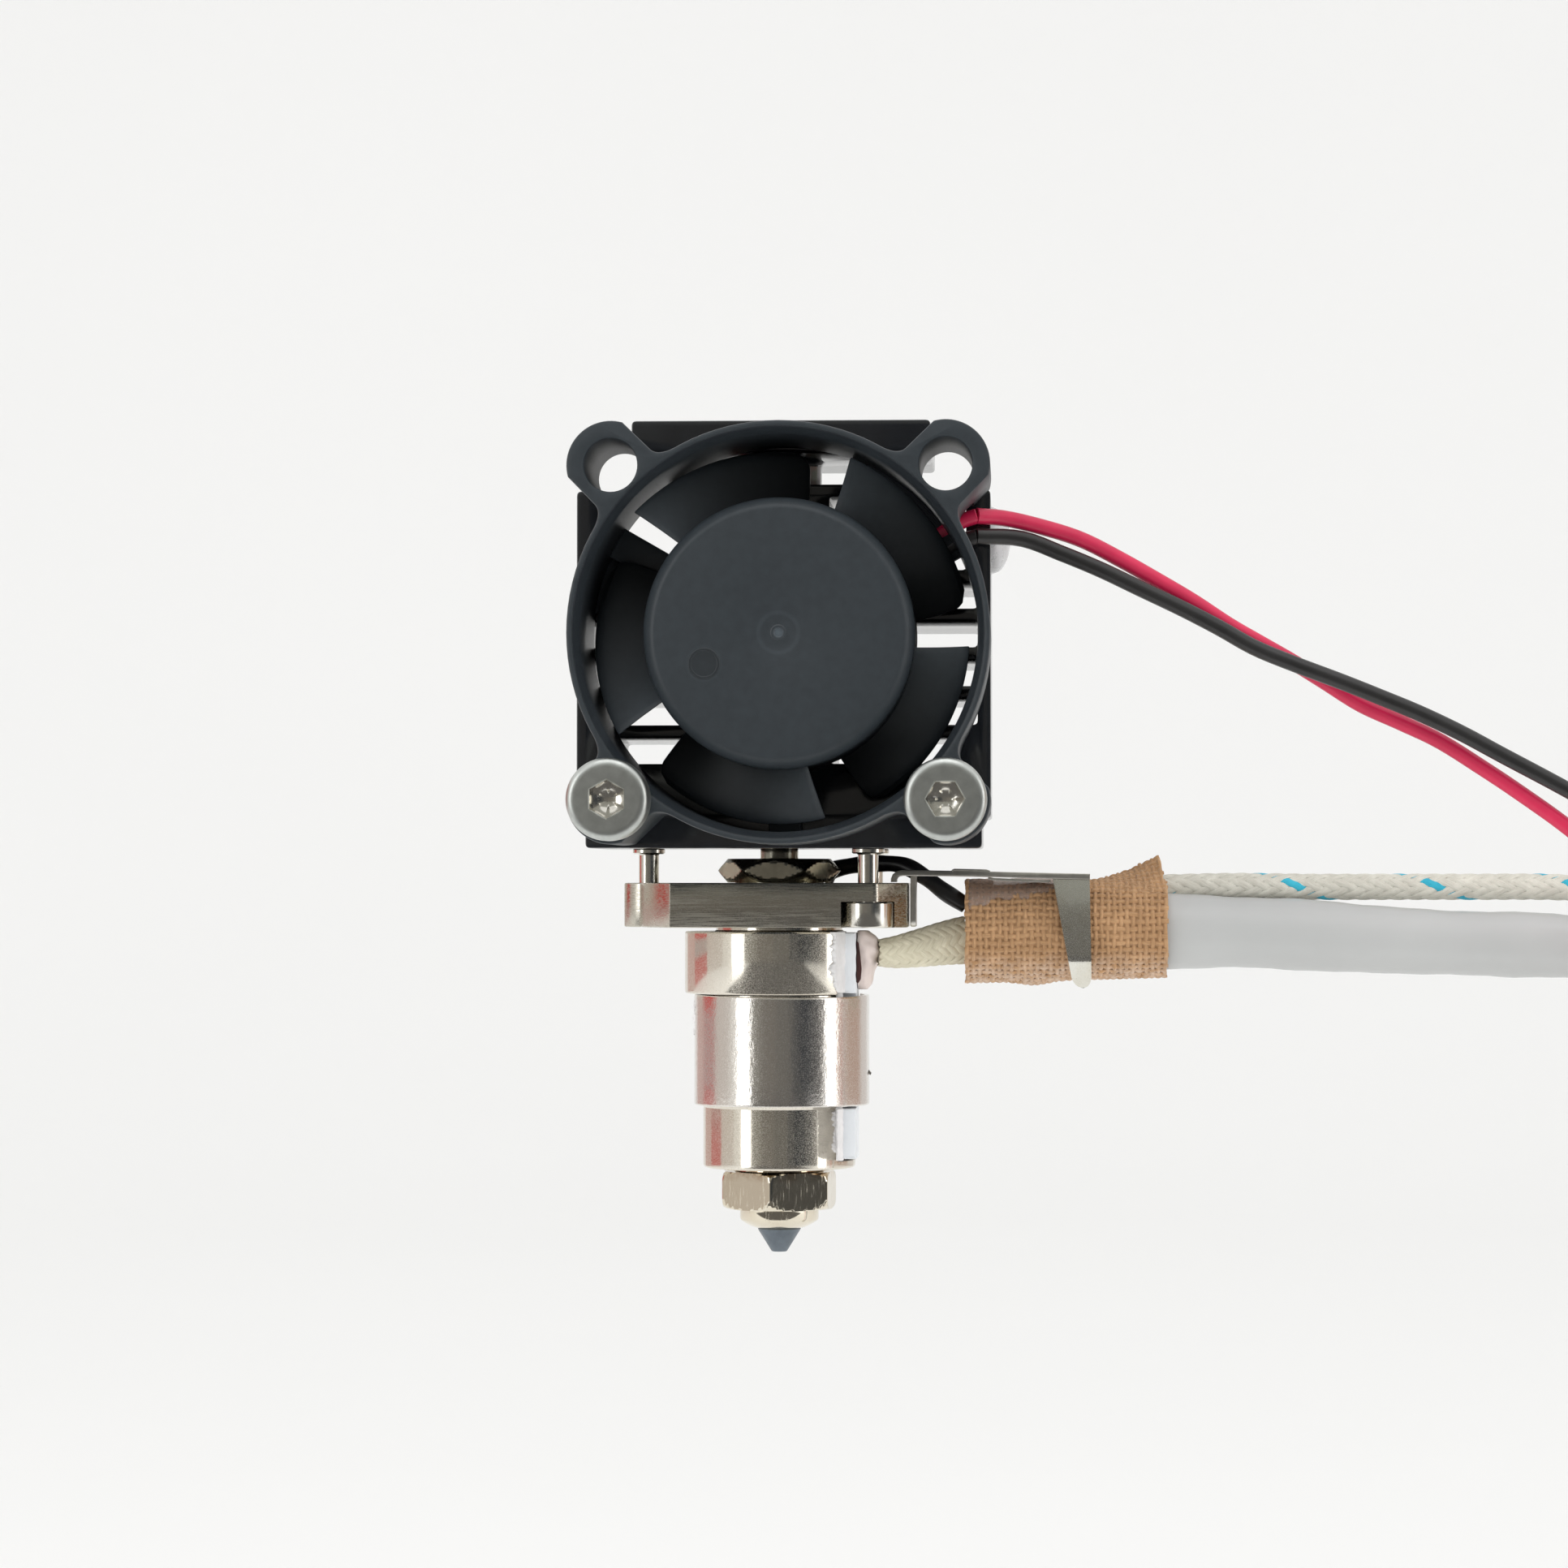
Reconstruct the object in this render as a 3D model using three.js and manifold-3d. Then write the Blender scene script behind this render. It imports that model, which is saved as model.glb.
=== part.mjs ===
// Hotend assembly: fan-cooled heatsink, heat break, clamp plate, heater core, nozzle and leads.
// Millimetres, +Z up with the nozzle pointing down, fan on the -Y side, leads towards +X.
// The origin is on the heatsink's flat back face, level with the fan's centre.
import * as THREE from "three";
import { mergeVertices } from "three/addons/utils/BufferGeometryUtils.js";
import Module from "manifold-3d";

const wasm = await Module();
wasm.setup();

// ---------------------------------------------------------------- driving dimensions
const SINK = { halfWidth: 12.8, depth: 15, top: 13.65, bottom: -12.8 };
const FIN = { thick: 0.75, pitch: 2.39, highestTop: 4.35, count: 5 };
const SLOT_HALF = 12.0;
const LOW_SLOT_HALF = 10.9;
const WINDOW_HALF = 11.3;
const SHELF = { top: 9.66, half: 6.5 };
const TOP_PLATE = { half: 9.4, under: 11.7 };
const WEB_HALF = 3.5;
const WALL_TOP = 9.3;
const NECK_RADIUS = 2.7;
const FOOT = { half: 12.25, top: -10.9 };

const FAN = { x: 0.2, front: -25, depth: 10, half: 12.65, pitch: 20 };
const RING = { lip: 12.35, bore: 11.9, bevel: 1.0 };
const LUG = { radius: 2.65, hole: 1.6, webHalf: 2.25 };
const HUB = { radius: 8.15, face: 7.55, front: 0.8, length: 7.1, sides: 45 };
const BLADE = { count: 5, tip: 11.4, front: 2.1, back: 7.6, span: 56, thick: 0.6, first: 62 };
const STRUT = { width: 2.0, thick: 1.4, angles: [30, 150, 270] };

const AXIS = { x: -0.63, y: -7.5 };
const BREAK = { tube: 1.2, bore: 1.0, hexFlats: 6.85, turn: -3, hexTop: -13.43, hexBottom: -14.93 };
const POST = { shank: 0.64, flange: 1.03, flangeThick: 0.33, thread: 0.78, head: 1.55, headTall: 1.6 };
const LEFT_POST = [-8.91, -7.5];
const FRONT_POST = [5.16, -12.3];
const REAR_POST = [5.16, -2.7];
const PLATE = { top: -14.95, bottom: -17.74, front: -13.6, lobe: 1.57 };
const CORE = { neck: 4.0, collar: 5.98, waist: 5.0, lower: 4.81, flat: 3.2 };
const CORE_Z = { neck: -17.74, collar: -18.0, waist: -21.85, lower: -29.02, lip: -32.4, end: -32.91 };
const HEATER = { inner: 3.52, outer: 4.35, half: 1.8, top: -18.1, bottom: -32.3 };
const SLEEVE = { offset: 0.16, radius: 5.53, sheet: 0.28, top: -22.05, bottom: -28.92 };
const NOZZLE = { flats: 6.7, turn: 24.3, top: -33.15, hexEnd: -35.5, collar: 2.49, collarEnd: -36.68 };
const TIP = { root: 1.36, flat: 0.5, start: -36.8, end: -38.24, bore: 0.2 };

const WRAP = { left: 11.13, right: 23.97, z: -18.0, radius: 3.2 };
const SHEET = 0.4;
const ARM = { z: -14.14, left: 6.5, right: 18.9, front: -11.3, back: -8.9 };

// Routes of the four leads from where each leaves the assembly to its connector.
const JACKET = { radius: 2.2, sides: 12, route: [
  [24.3, -7.5, -18.0], [28, -7.5, -18.05], [32, -7.5, -18.2], [36, -7.5, -18.45], [40, -7.5, -18.65],
  [44.5, -7.5, -18.8], [49, -7.5, -18.95], [53.5, -7.5, -19.6], [58, -7.5, -21.6], [62, -7.5, -24.9],
  [65, -7.5, -29.3], [66.8, -7.5, -34.6], [67.5, -7.5, -40.5], [67.6, -7.5, -47], [67.6, -7.5, -54],
  [67.5, -7.5, -61], [67.4, -7.5, -68], [67.3, -7.5, -75], [67.3, -7.5, -82],
] };
const BRAID = { radius: 0.82, sides: 8, route: [
  [24.3, -5.7, -15.1], [28, -5.7, -15.15], [33, -5.8, -15.2], [38, -5.9, -15.2], [43, -6.1, -15.2],
  [49, -6.3, -15.25], [54, -6.4, -15.8], [59, -6.4, -17.6], [63.5, -6.4, -20.8], [67, -6.4, -25],
  [69.5, -6.4, -30.2], [70.9, -6.4, -36], [71.7, -6.5, -42], [72.4, -6.8, -50], [73.1, -7.2, -58],
  [73.5, -7.5, -65], [73.6, -7.5, -71],
] };
const RED = { radius: 0.5, sides: 8, route: [
  [12.6, -16.1, 7.55], [13.7, -15.7, 7.45], [16, -15.1, 6.95], [18.4, -14.7, 6.2], [20.8, -14.3, 5.0],
  [23.1, -14.1, 3.7], [25.3, -13.9, 2.4], [27.5, -13.7, 0.95], [29.4, -13.6, -0.15], [31.4, -13.5, -1.3],
  [33.4, -13.4, -2.55], [35.6, -13.4, -3.95], [38, -13.4, -5.05], [40.4, -13.4, -6.2],
  [43, -13.4, -7.85], [45.3, -13.4, -9.4], [48.2, -13.4, -11.5], [51, -13.4, -13.9],
  [53.6, -13.4, -16.9], [55.6, -13.4, -20.6], [56.8, -13.4, -25], [57.3, -13.4, -30],
  [57.4, -13.4, -36], [57.4, -13.4, -43], [57.4, -13.4, -50], [57.4, -13.4, -58], [57.4, -13.4, -66],
] };
const BLACK = { radius: 0.5, sides: 8, route: [
  [12.6, -16.1, 6.4], [14.7, -15.7, 6.2], [17.2, -15.3, 5.3], [19.6, -15.15, 4.3], [22, -15.0, 3.15],
  [24.5, -14.95, 1.95], [26.8, -14.9, 0.75], [29, -14.9, -0.5], [31.4, -14.9, -1.5],
  [34.3, -14.9, -2.6], [36.8, -14.8, -3.6], [39.2, -14.7, -4.6], [41.7, -14.6, -5.8],
  [44.1, -14.5, -7.1], [48.2, -14.3, -9.3], [51.6, -14.1, -11.3], [55, -13.9, -13.9],
  [57.8, -13.7, -17.4], [59.5, -13.5, -21.8], [60.1, -13.4, -27], [60, -13.4, -33],
  [59.9, -13.4, -40], [59.9, -13.4, -49], [59.9, -13.4, -58], [59.9, -13.4, -66],
] };

// ---------------------------------------------------------------- materials
const finish = (color, roughness, metalness = 0) =>
  new THREE.MeshStandardMaterial({ color, roughness, metalness });
const LOOK = {
  anodised: () => finish(0x17191c, 0.55, 0.4),
  plastic: () => finish(0x33383c, 0.6),
  nickel: () => finish(0xc9c1b4, 0.22, 1),
  steel: () => finish(0x9b9c9a, 0.35, 1),
  darkSteel: () => finish(0x3b332b, 0.4, 0.9),
  copper: () => finish(0xb5653a, 0.4, 1),
  ceramic: () => finish(0xe9ebee, 0.5),
  potting: () => finish(0xe3d6da, 0.8),
  magnet: () => finish(0x2b2623, 0.7, 0.2),
  board: () => finish(0x2f6b3c, 0.5),
  rubberBlack: () => finish(0x1a1a1a, 0.6),
  red: () => finish(0xb3122f, 0.4),
  ptfe: () => finish(0xf2f2ee, 0.4),
  cloth: () => finish(0x9d7343, 0.9),
  cream: () => finish(0xd9d5bb, 0.85),
  jacket: () => finish(0xd5d7da, 0.5),
  housing: () => finish(0xefece2, 0.5),
};

// ---------------------------------------------------------------- solids
const IDENTITY = new THREE.Matrix4();
const moved = (x, y, z) => new THREE.Matrix4().makeTranslation(x, y, z);
const degrees = (a) => (a * Math.PI) / 180;

function solid(geometry, matrix = IDENTITY) {
  const bare = geometry.index ? geometry.toNonIndexed() : geometry.clone();
  bare.deleteAttribute("normal");
  bare.deleteAttribute("uv");
  bare.applyMatrix4(matrix);
  const merged = mergeVertices(bare, 1e-4);
  return new wasm.Manifold(
    new wasm.Mesh({
      numProp: 3,
      vertProperties: merged.attributes.position.array,
      triVerts: new Uint32Array(merged.index.array),
    }),
  );
}

const join = (first, ...rest) => rest.reduce((a, b) => a.add(b), first);
const cut = (first, ...rest) => rest.reduce((a, b) => a.subtract(b), first);

function box(x0, x1, y0, y1, z0, z1) {
  const centre = moved((x0 + x1) / 2, (y0 + y1) / 2, (z0 + z1) / 2);
  return solid(new THREE.BoxGeometry(x1 - x0, y1 - y0, z1 - z0), centre);
}

// A cylinder or cone from low to high along an axis, "x", "y" or "z", through (a, b) of the other two.
function rod(axis, a, b, low, high, radius, sides = 24, radiusHigh = radius) {
  const length = high - low;
  const geometry = new THREE.CylinderGeometry(radiusHigh, radius, length, sides);
  const mid = (low + high) / 2;
  if (axis === "z") {
    return solid(geometry.rotateX(Math.PI / 2), moved(a, b, mid));
  }
  if (axis === "y") {
    return solid(geometry, moved(a, mid, b));
  }
  return solid(geometry.rotateZ(-Math.PI / 2), moved(mid, a, b));
}

function ring(axis, a, b, low, high, inner, outer, sides = 32) {
  const hole = rod(axis, a, b, low - 1, high + 1, inner, sides);
  return cut(rod(axis, a, b, low, high, outer, sides), hole);
}

// A flat outline in XY, raised from low to high.
function raised(points, low, high) {
  const outline = new THREE.Shape(points.map(([x, y]) => new THREE.Vector2(x, y)));
  const geometry = new THREE.ExtrudeGeometry(outline, { depth: high - low, bevelEnabled: false });
  return solid(geometry, moved(0, 0, low));
}

// A flat outline in XZ, with its thickness from front to back along Y.
function standing(points, front, back) {
  const turn = new THREE.Matrix4().makeRotationX(Math.PI / 2);
  const outline = new THREE.Shape(points.map(([x, z]) => new THREE.Vector2(x, z)));
  const geometry = new THREE.ExtrudeGeometry(outline, { depth: back - front, bevelEnabled: false });
  return solid(geometry, moved(0, back, 0).multiply(turn));
}

// A body of revolution about the Z line through (x, y); its profile is [radius, z] from bottom to top.
function turned(profile, x, y, sides = 32) {
  const points = profile.map(([r, z]) => new THREE.Vector2(r, z));
  const geometry = new THREE.LatheGeometry(points, sides);
  return solid(geometry.rotateX(Math.PI / 2), moved(x, y, 0));
}

function hexagon(flats, low, high, x, y, turn = 0) {
  const corner = flats / 2 / Math.cos(Math.PI / 6);
  const at = (k) => degrees(turn + 60 * k);
  const points = [0, 1, 2, 3, 4, 5].map((k) => [
    x + corner * Math.cos(at(k)),
    y + corner * Math.sin(at(k)),
  ]);
  return raised(points, low, high);
}

// A closed tube of even thickness along a smooth curve.
function tube(route, radius, sides, steps) {
  const curve = new THREE.CatmullRomCurve3(route.map((p) => new THREE.Vector3(...p)));
  const section = new THREE.Shape();
  for (let k = 0; k < sides; k += 1) {
    const a = (2 * Math.PI * (k + 0.5)) / sides;
    const x = radius * Math.cos(a);
    const y = radius * Math.sin(a);
    if (k === 0) {
      section.moveTo(x, y);
    } else {
      section.lineTo(x, y);
    }
  }
  section.closePath();
  return solid(new THREE.ExtrudeGeometry(section, { steps, extrudePath: curve, bevelEnabled: false }));
}

// A closed body through a run of sections with equal numbers of points, capped flat at both ends.
function lofted(sections) {
  const count = sections[0].length;
  const index = [];
  for (let i = 0; i < sections.length - 1; i += 1) {
    for (let k = 0; k < count; k += 1) {
      const j = (k + 1) % count;
      const [a, b, c, d] = [i * count + k, i * count + j, (i + 1) * count + j, (i + 1) * count + k];
      index.push(a, b, c, a, c, d);
    }
  }
  const last = (sections.length - 1) * count;
  for (let k = 1; k < count - 1; k += 1) {
    index.push(0, k + 1, k);
    index.push(last, last + k, last + k + 1);
  }
  const body = (order) => {
    const geometry = new THREE.BufferGeometry();
    const points = new Float32Array(sections.flat(2));
    geometry.setAttribute("position", new THREE.BufferAttribute(points, 3));
    geometry.setIndex(order);
    return solid(geometry);
  };
  const made = body(index);
  return made.volume() > 0 ? made : body([...index].reverse());
}

const assembly = new THREE.Group();

function add(name, made, material) {
  const { vertProperties, triVerts, numProp } = made.getMesh();
  const positions = new Float32Array((vertProperties.length / numProp) * 3);
  for (let i = 0; i < positions.length / 3; i += 1) {
    positions.set(vertProperties.slice(i * numProp, i * numProp + 3), i * 3);
  }
  const geometry = new THREE.BufferGeometry();
  geometry.setAttribute("position", new THREE.BufferAttribute(positions, 3));
  geometry.setIndex(new THREE.BufferAttribute(new Uint32Array(triVerts), 1));
  geometry.computeVertexNormals();
  const mesh = new THREE.Mesh(geometry, material);
  mesh.name = name;
  assembly.add(mesh);
}

// ---------------------------------------------------------------- heatsink
const BREAK_TOP = -3.2;
const BREAK_BODY = 2.25;
const LINER = 1.5;
const FAN_SCREW = { radius: 1.2, tap: 1.28, end: -10.6 };
const BACK_HOLE = { x: 9, z: -10.2, radius: 1.25, depth: 4 };
const GRUB = { z: -10, radius: 1.2, length: 4.6 };
const POST_TAP_TOP = -9.2;
const CLEAR = 0.08;

function heatsink() {
  const { halfWidth, depth, top, bottom } = SINK;
  const front = -depth - 1;
  const slot = (half, low, high) => box(-half, half, front, 1, low, high);
  const beside = (half, low, high) =>
    cut(slot(half, low, high), box(AXIS.x - WEB_HALF, AXIS.x + WEB_HALF, front, 1, low, high));
  const cuts = [];
  for (let k = 0; k < FIN.count; k += 1) {
    const finUnder = FIN.highestTop - FIN.pitch * k - FIN.thick;
    const nextTop = FIN.highestTop - FIN.pitch * (k + 1);
    cuts.push(beside(k === FIN.count - 1 ? LOW_SLOT_HALF : SLOT_HALF, nextTop, finUnder));
  }
  const shelfUnder = SHELF.top - FIN.thick;
  cuts.push(beside(WINDOW_HALF, FIN.highestTop, shelfUnder));
  const neck = rod("z", AXIS.x, AXIS.y, WALL_TOP, top, NECK_RADIUS);
  cuts.push(cut(slot(halfWidth + 1, SHELF.top, TOP_PLATE.under), neck));
  const between = (side, inner, outer, low, high) =>
    box(Math.min(side * inner, side * outer), Math.max(side * inner, side * outer), front, 1, low, high);
  for (const side of [-1, 1]) {
    cuts.push(between(side, SHELF.half, WINDOW_HALF, shelfUnder - 0.5, SHELF.top + 0.5));
    cuts.push(between(side, SHELF.half, halfWidth + 1, WALL_TOP, SHELF.top + 0.5));
    cuts.push(between(side, TOP_PLATE.half, halfWidth + 1, TOP_PLATE.under - 0.5, top + 1));
    cuts.push(between(side, FOOT.half, halfWidth + 1, bottom - 1, FOOT.top));
    const x = FAN.x + (side * FAN.pitch) / 2;
    cuts.push(rod("y", x, -FAN.pitch / 2, front, FAN_SCREW.end + 0.3, FAN_SCREW.tap));
    cuts.push(rod("y", side * BACK_HOLE.x, BACK_HOLE.z, -BACK_HOLE.depth, 1, BACK_HOLE.radius, 16));
  }
  for (const [x, y] of [LEFT_POST, FRONT_POST, REAR_POST]) {
    cuts.push(rod("z", x, y, bottom - 1, POST_TAP_TOP, POST.thread + CLEAR, 16));
  }
  cuts.push(rod("z", AXIS.x, AXIS.y, bottom - 1, BREAK_TOP, BREAK_BODY + CLEAR));
  cuts.push(rod("z", AXIS.x, AXIS.y, BREAK_TOP - 1, top + 1, LINER + CLEAR));
  cuts.push(rod("y", AXIS.x, GRUB.z, AXIS.y, 1, GRUB.radius + CLEAR, 16));
  return cut(box(-halfWidth, halfWidth, -depth, 0, bottom, top), ...cuts);
}

add("heatsink", heatsink(), LOOK.anodised());

// A dome of clear-white glue on the right side wall, behind the fan wires.
const DAB = { y: -9.0, z: 6.6, radius: 2.15, proud: 1.25 };

function glueDab() {
  const profile = [[0, 0], [DAB.radius, 0], [DAB.radius * 0.94, DAB.proud * 0.4]];
  profile.push([DAB.radius * 0.7, DAB.proud * 0.8], [DAB.radius * 0.35, DAB.proud * 0.97], [0, DAB.proud]);
  const points = profile.map(([r, h]) => new THREE.Vector2(r, h));
  const geometry = new THREE.LatheGeometry(points, 20).rotateZ(-Math.PI / 2);
  return solid(geometry, moved(SINK.halfWidth, DAB.y, DAB.z));
}

add("glue_dab", glueDab(), LOOK.ptfe());

// ---------------------------------------------------------------- fan
const fanY = (t) => FAN.front + t;
const CUP = { radius: 6.9, floor: 8.6 };
const BUSH = { outer: 1.9, inner: 0.55, front: 2.6 };
const SHAFT = { radius: 0.5, front: 1.2, back: 9.4 };
const YOKE = { outer: 7.25, inner: 6.95 };
const MAGNET = { outer: 6.9, inner: 6.0 };
const STATOR = { outer: 5.6, hub: 2.4, front: 4.0, back: 6.4 };

function fanFrame() {
  const { x, half, depth, pitch } = FAN;
  const back = fanY(depth);
  const body = [rod("y", x, 0, fanY(0), back, half, 72)];
  const reach = pitch / 2;
  for (const side of [-1, 1]) {
    for (const level of [-1, 1]) {
      body.push(rod("y", x + side * reach, level * reach, fanY(0), back, LUG.radius, 32));
      const w = LUG.webHalf / Math.SQRT2;
      const near = 7;
      const web = [
        [x + side * (reach + w), level * (reach - w)],
        [x + side * (reach - w), level * (reach + w)],
        [x + side * (near - w), level * (near + w)],
        [x + side * (near + w), level * (near - w)],
      ];
      body.push(standing(side * level > 0 ? web : [...web].reverse(), fanY(0), back));
    }
  }
  const cuts = [
    rod("y", x, 0, fanY(-1), back + 1, RING.bore, 72),
    rod("y", x, 0, fanY(-0.01), fanY(RING.bevel), RING.lip, 72, RING.bore),
  ];
  for (const side of [-1, 1]) {
    for (const level of [-1, 1]) {
      cuts.push(rod("y", x + side * reach, level * reach, fanY(-1), back + 1, LUG.hole, 24));
    }
  }
  const notch = box(x + 8, x + 14, fanY(8.0), back + 1, 5.6, 8.3);
  const rim = cut(join(...body), ...cuts, notch);
  const struts = STRUT.angles.map((angle) => {
    const arm = new THREE.BoxGeometry(RING.bore + 0.2 - CUP.radius + 0.6, STRUT.thick, STRUT.width);
    const out = moved((RING.bore + CUP.radius - 0.4) / 2, 0, 0);
    const turn = new THREE.Matrix4().makeRotationY(-degrees(angle));
    return solid(arm, moved(x, back - STRUT.thick / 2, 0).multiply(turn).multiply(out));
  });
  const floor = rod("y", x, 0, fanY(CUP.floor), back, CUP.radius, 40);
  const tower = rod("y", x, 0, fanY(BUSH.front + 0.4), fanY(CUP.floor + 0.1), BUSH.outer + 0.45, 24);
  const bore = rod("y", x, 0, fanY(0), fanY(9.45), BUSH.outer + 0.03, 24);
  return cut(join(rim, ...struts, floor, tower), bore);
}

// One curved blade, from its forward edge to its trailing edge, rooted inside the hub's wall.
function blade(startAngle) {
  const stations = 8;
  const root = HUB.radius - 0.35;
  const sections = [];
  for (let i = 0; i < stations; i += 1) {
    const s = i / (stations - 1);
    const angle = degrees(startAngle - BLADE.span * s);
    const mid = fanY(BLADE.front + (BLADE.back - BLADE.front) * (1.35 * s - 0.35 * s * s));
    const half = (BLADE.thick / 2) * (0.6 + 1.6 * s * (1 - s));
    const at = (radius, y) => [FAN.x + radius * Math.cos(angle), y, radius * Math.sin(angle)];
    sections.push([at(root, mid - half), at(BLADE.tip, mid - half), at(BLADE.tip, mid + half), at(root, mid + half)]);
  }
  return lofted(sections);
}

function impeller() {
  const bevel = HUB.radius - HUB.face;
  const front = HUB.front;
  const hub = join(
    rod("y", FAN.x, 0, fanY(front + bevel), fanY(front + HUB.length), HUB.radius, HUB.sides),
    rod("y", FAN.x, 0, fanY(front), fanY(front + bevel), HUB.face, HUB.sides, HUB.radius),
  );
  const hollow = rod("y", FAN.x, 0, fanY(front + 1.0), fanY(front + HUB.length + 1), YOKE.outer + 0.03, 48);
  const boss = rod("y", FAN.x, 0, fanY(front + 0.5), fanY(front + 1.6), 1.2, 16);
  const shaftHole = rod("y", FAN.x, 0, fanY(SHAFT.front - 0.02), fanY(9), SHAFT.radius + 0.02, 16);
  const blades = [];
  for (let k = 0; k < BLADE.count; k += 1) {
    blades.push(blade(BLADE.first + 72 * k));
  }
  return cut(join(cut(join(hub, ...blades), hollow), boss), shaftHole);
}

function statorCore() {
  const { outer, hub, front, back } = STATOR;
  const poles = [0, 90, 180, 270].map((angle) => {
    const turn = new THREE.Matrix4().makeRotationY(degrees(angle));
    const mid = moved(FAN.x, fanY((front + back) / 2), 0).multiply(turn);
    const stem = solid(new THREE.BoxGeometry(outer, back - front, 1.2), mid.clone().multiply(moved(outer / 2, 0, 0)));
    const shoe = solid(new THREE.BoxGeometry(1.0, back - front, 4.6), mid.multiply(moved(outer - 0.7, 0, 0)));
    return join(stem, shoe);
  });
  const centre = rod("y", FAN.x, 0, fanY(front), fanY(back), hub + 0.9, 24);
  const around = rod("y", FAN.x, 0, fanY(front - 1), fanY(back + 1), hub, 24);
  const limit = rod("y", FAN.x, 0, fanY(front), fanY(back), outer, 48);
  return cut(join(centre, ...poles).intersect(limit), around);
}

function statorCoil(angle) {
  const turn = new THREE.Matrix4().makeRotationY(degrees(angle));
  const mid = moved(FAN.x, fanY((STATOR.front + STATOR.back) / 2), 0).multiply(turn).multiply(moved(3.85, 0, 0));
  const outside = solid(new THREE.BoxGeometry(0.8, 3.4, 2.4), mid);
  const inside = solid(new THREE.BoxGeometry(2, STATOR.back - STATOR.front + 0.1, 1.3), mid);
  return cut(outside, inside);
}

add("fan_frame", fanFrame(), LOOK.plastic());
add("fan_impeller", impeller(), LOOK.plastic());
add("rotor_yoke", ring("y", FAN.x, 0, fanY(2.0), fanY(7.5), YOKE.inner, YOKE.outer, 48), LOOK.steel());
add("rotor_magnet", ring("y", FAN.x, 0, fanY(2.3), fanY(7.3), MAGNET.inner, MAGNET.outer, 48), LOOK.magnet());
add("fan_shaft", rod("y", FAN.x, 0, fanY(SHAFT.front), fanY(SHAFT.back), SHAFT.radius, 16), LOOK.steel());
add("fan_bearing", ring("y", FAN.x, 0, fanY(BUSH.front), fanY(8.5), BUSH.inner, BUSH.outer, 24), LOOK.copper());
add("stator_core", statorCore(), LOOK.steel());
[0, 90, 180, 270].forEach((angle, k) => {
  add(`stator_coil_${k + 1}`, statorCoil(angle), LOOK.copper());
});
add("fan_circuit_board", ring("y", FAN.x, 0, fanY(7.5), fanY(8.2), 2.5, 5.5, 32), LOOK.board());

const FAN_SCREW_HEAD = { radius: 2.38, tall: 2.5, rim: 0.28, key: 2.0, socket: 1.3 };

function fanScrew(side) {
  const { radius, tall, rim, key, socket } = FAN_SCREW_HEAD;
  const x = FAN.x + (side * FAN.pitch) / 2;
  const z = -FAN.pitch / 2;
  const head = join(
    rod("y", x, z, fanY(-tall + rim), fanY(0), radius, 40),
    rod("y", x, z, fanY(-tall), fanY(-tall + rim), radius - rim, 40, radius),
    rod("y", x, z, fanY(-0.1), FAN_SCREW.end, FAN_SCREW.radius, 20),
  );
  const recess = rod("y", x, z, fanY(-tall - 1), fanY(-tall + socket), key / 2 / Math.cos(Math.PI / 6), 6);
  return cut(head, recess);
}

add("fan_screw_left", fanScrew(-1), LOOK.steel());
add("fan_screw_right", fanScrew(1), LOOK.steel());

// ---------------------------------------------------------------- heat break and liner
const NECK_THREAD = 2.85;

function heatBreak() {
  const { tube: thin, bore, hexFlats, turn, hexTop, hexBottom } = BREAK;
  const corner = hexFlats / 2 / Math.cos(Math.PI / 6);
  const slope = 0.62;
  const chamfer = turned([
    [0, hexBottom], [corner - 0.66, hexBottom], [corner - 0.06, hexBottom + slope],
    [corner - 0.06, hexTop - slope], [corner - 0.66, hexTop], [0, hexTop],
  ], AXIS.x, AXIS.y, 48);
  const hex = hexagon(hexFlats, hexBottom, hexTop, AXIS.x, AXIS.y, turn).intersect(chamfer);
  return cut(
    join(
      hex,
      rod("z", AXIS.x, AXIS.y, -20.5, hexBottom + 0.1, NECK_THREAD, 24),
      rod("z", AXIS.x, AXIS.y, hexTop - 0.1, -11.4, thin, 24),
      rod("z", AXIS.x, AXIS.y, -11.5, BREAK_TOP - 0.1, BREAK_BODY, 24),
    ),
    rod("z", AXIS.x, AXIS.y, -21, 0, bore, 20),
  );
}

add("heat_break", heatBreak(), LOOK.darkSteel());
add("ptfe_liner", ring("z", AXIS.x, AXIS.y, BREAK_TOP, SINK.top - 0.3, 1.0, LINER, 20), LOOK.ptfe());
add("grub_screw", cut(
  rod("y", AXIS.x, GRUB.z, AXIS.y + BREAK_BODY + 0.1, AXIS.y + BREAK_BODY + GRUB.length, GRUB.radius, 16),
  rod("y", AXIS.x, GRUB.z, AXIS.y + BREAK_BODY + GRUB.length - 1.4, 1, 0.7, 6),
), LOOK.darkSteel());

// ---------------------------------------------------------------- clamp plate and tie screws
const PLATE_HOLE = 0.9;

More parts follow.
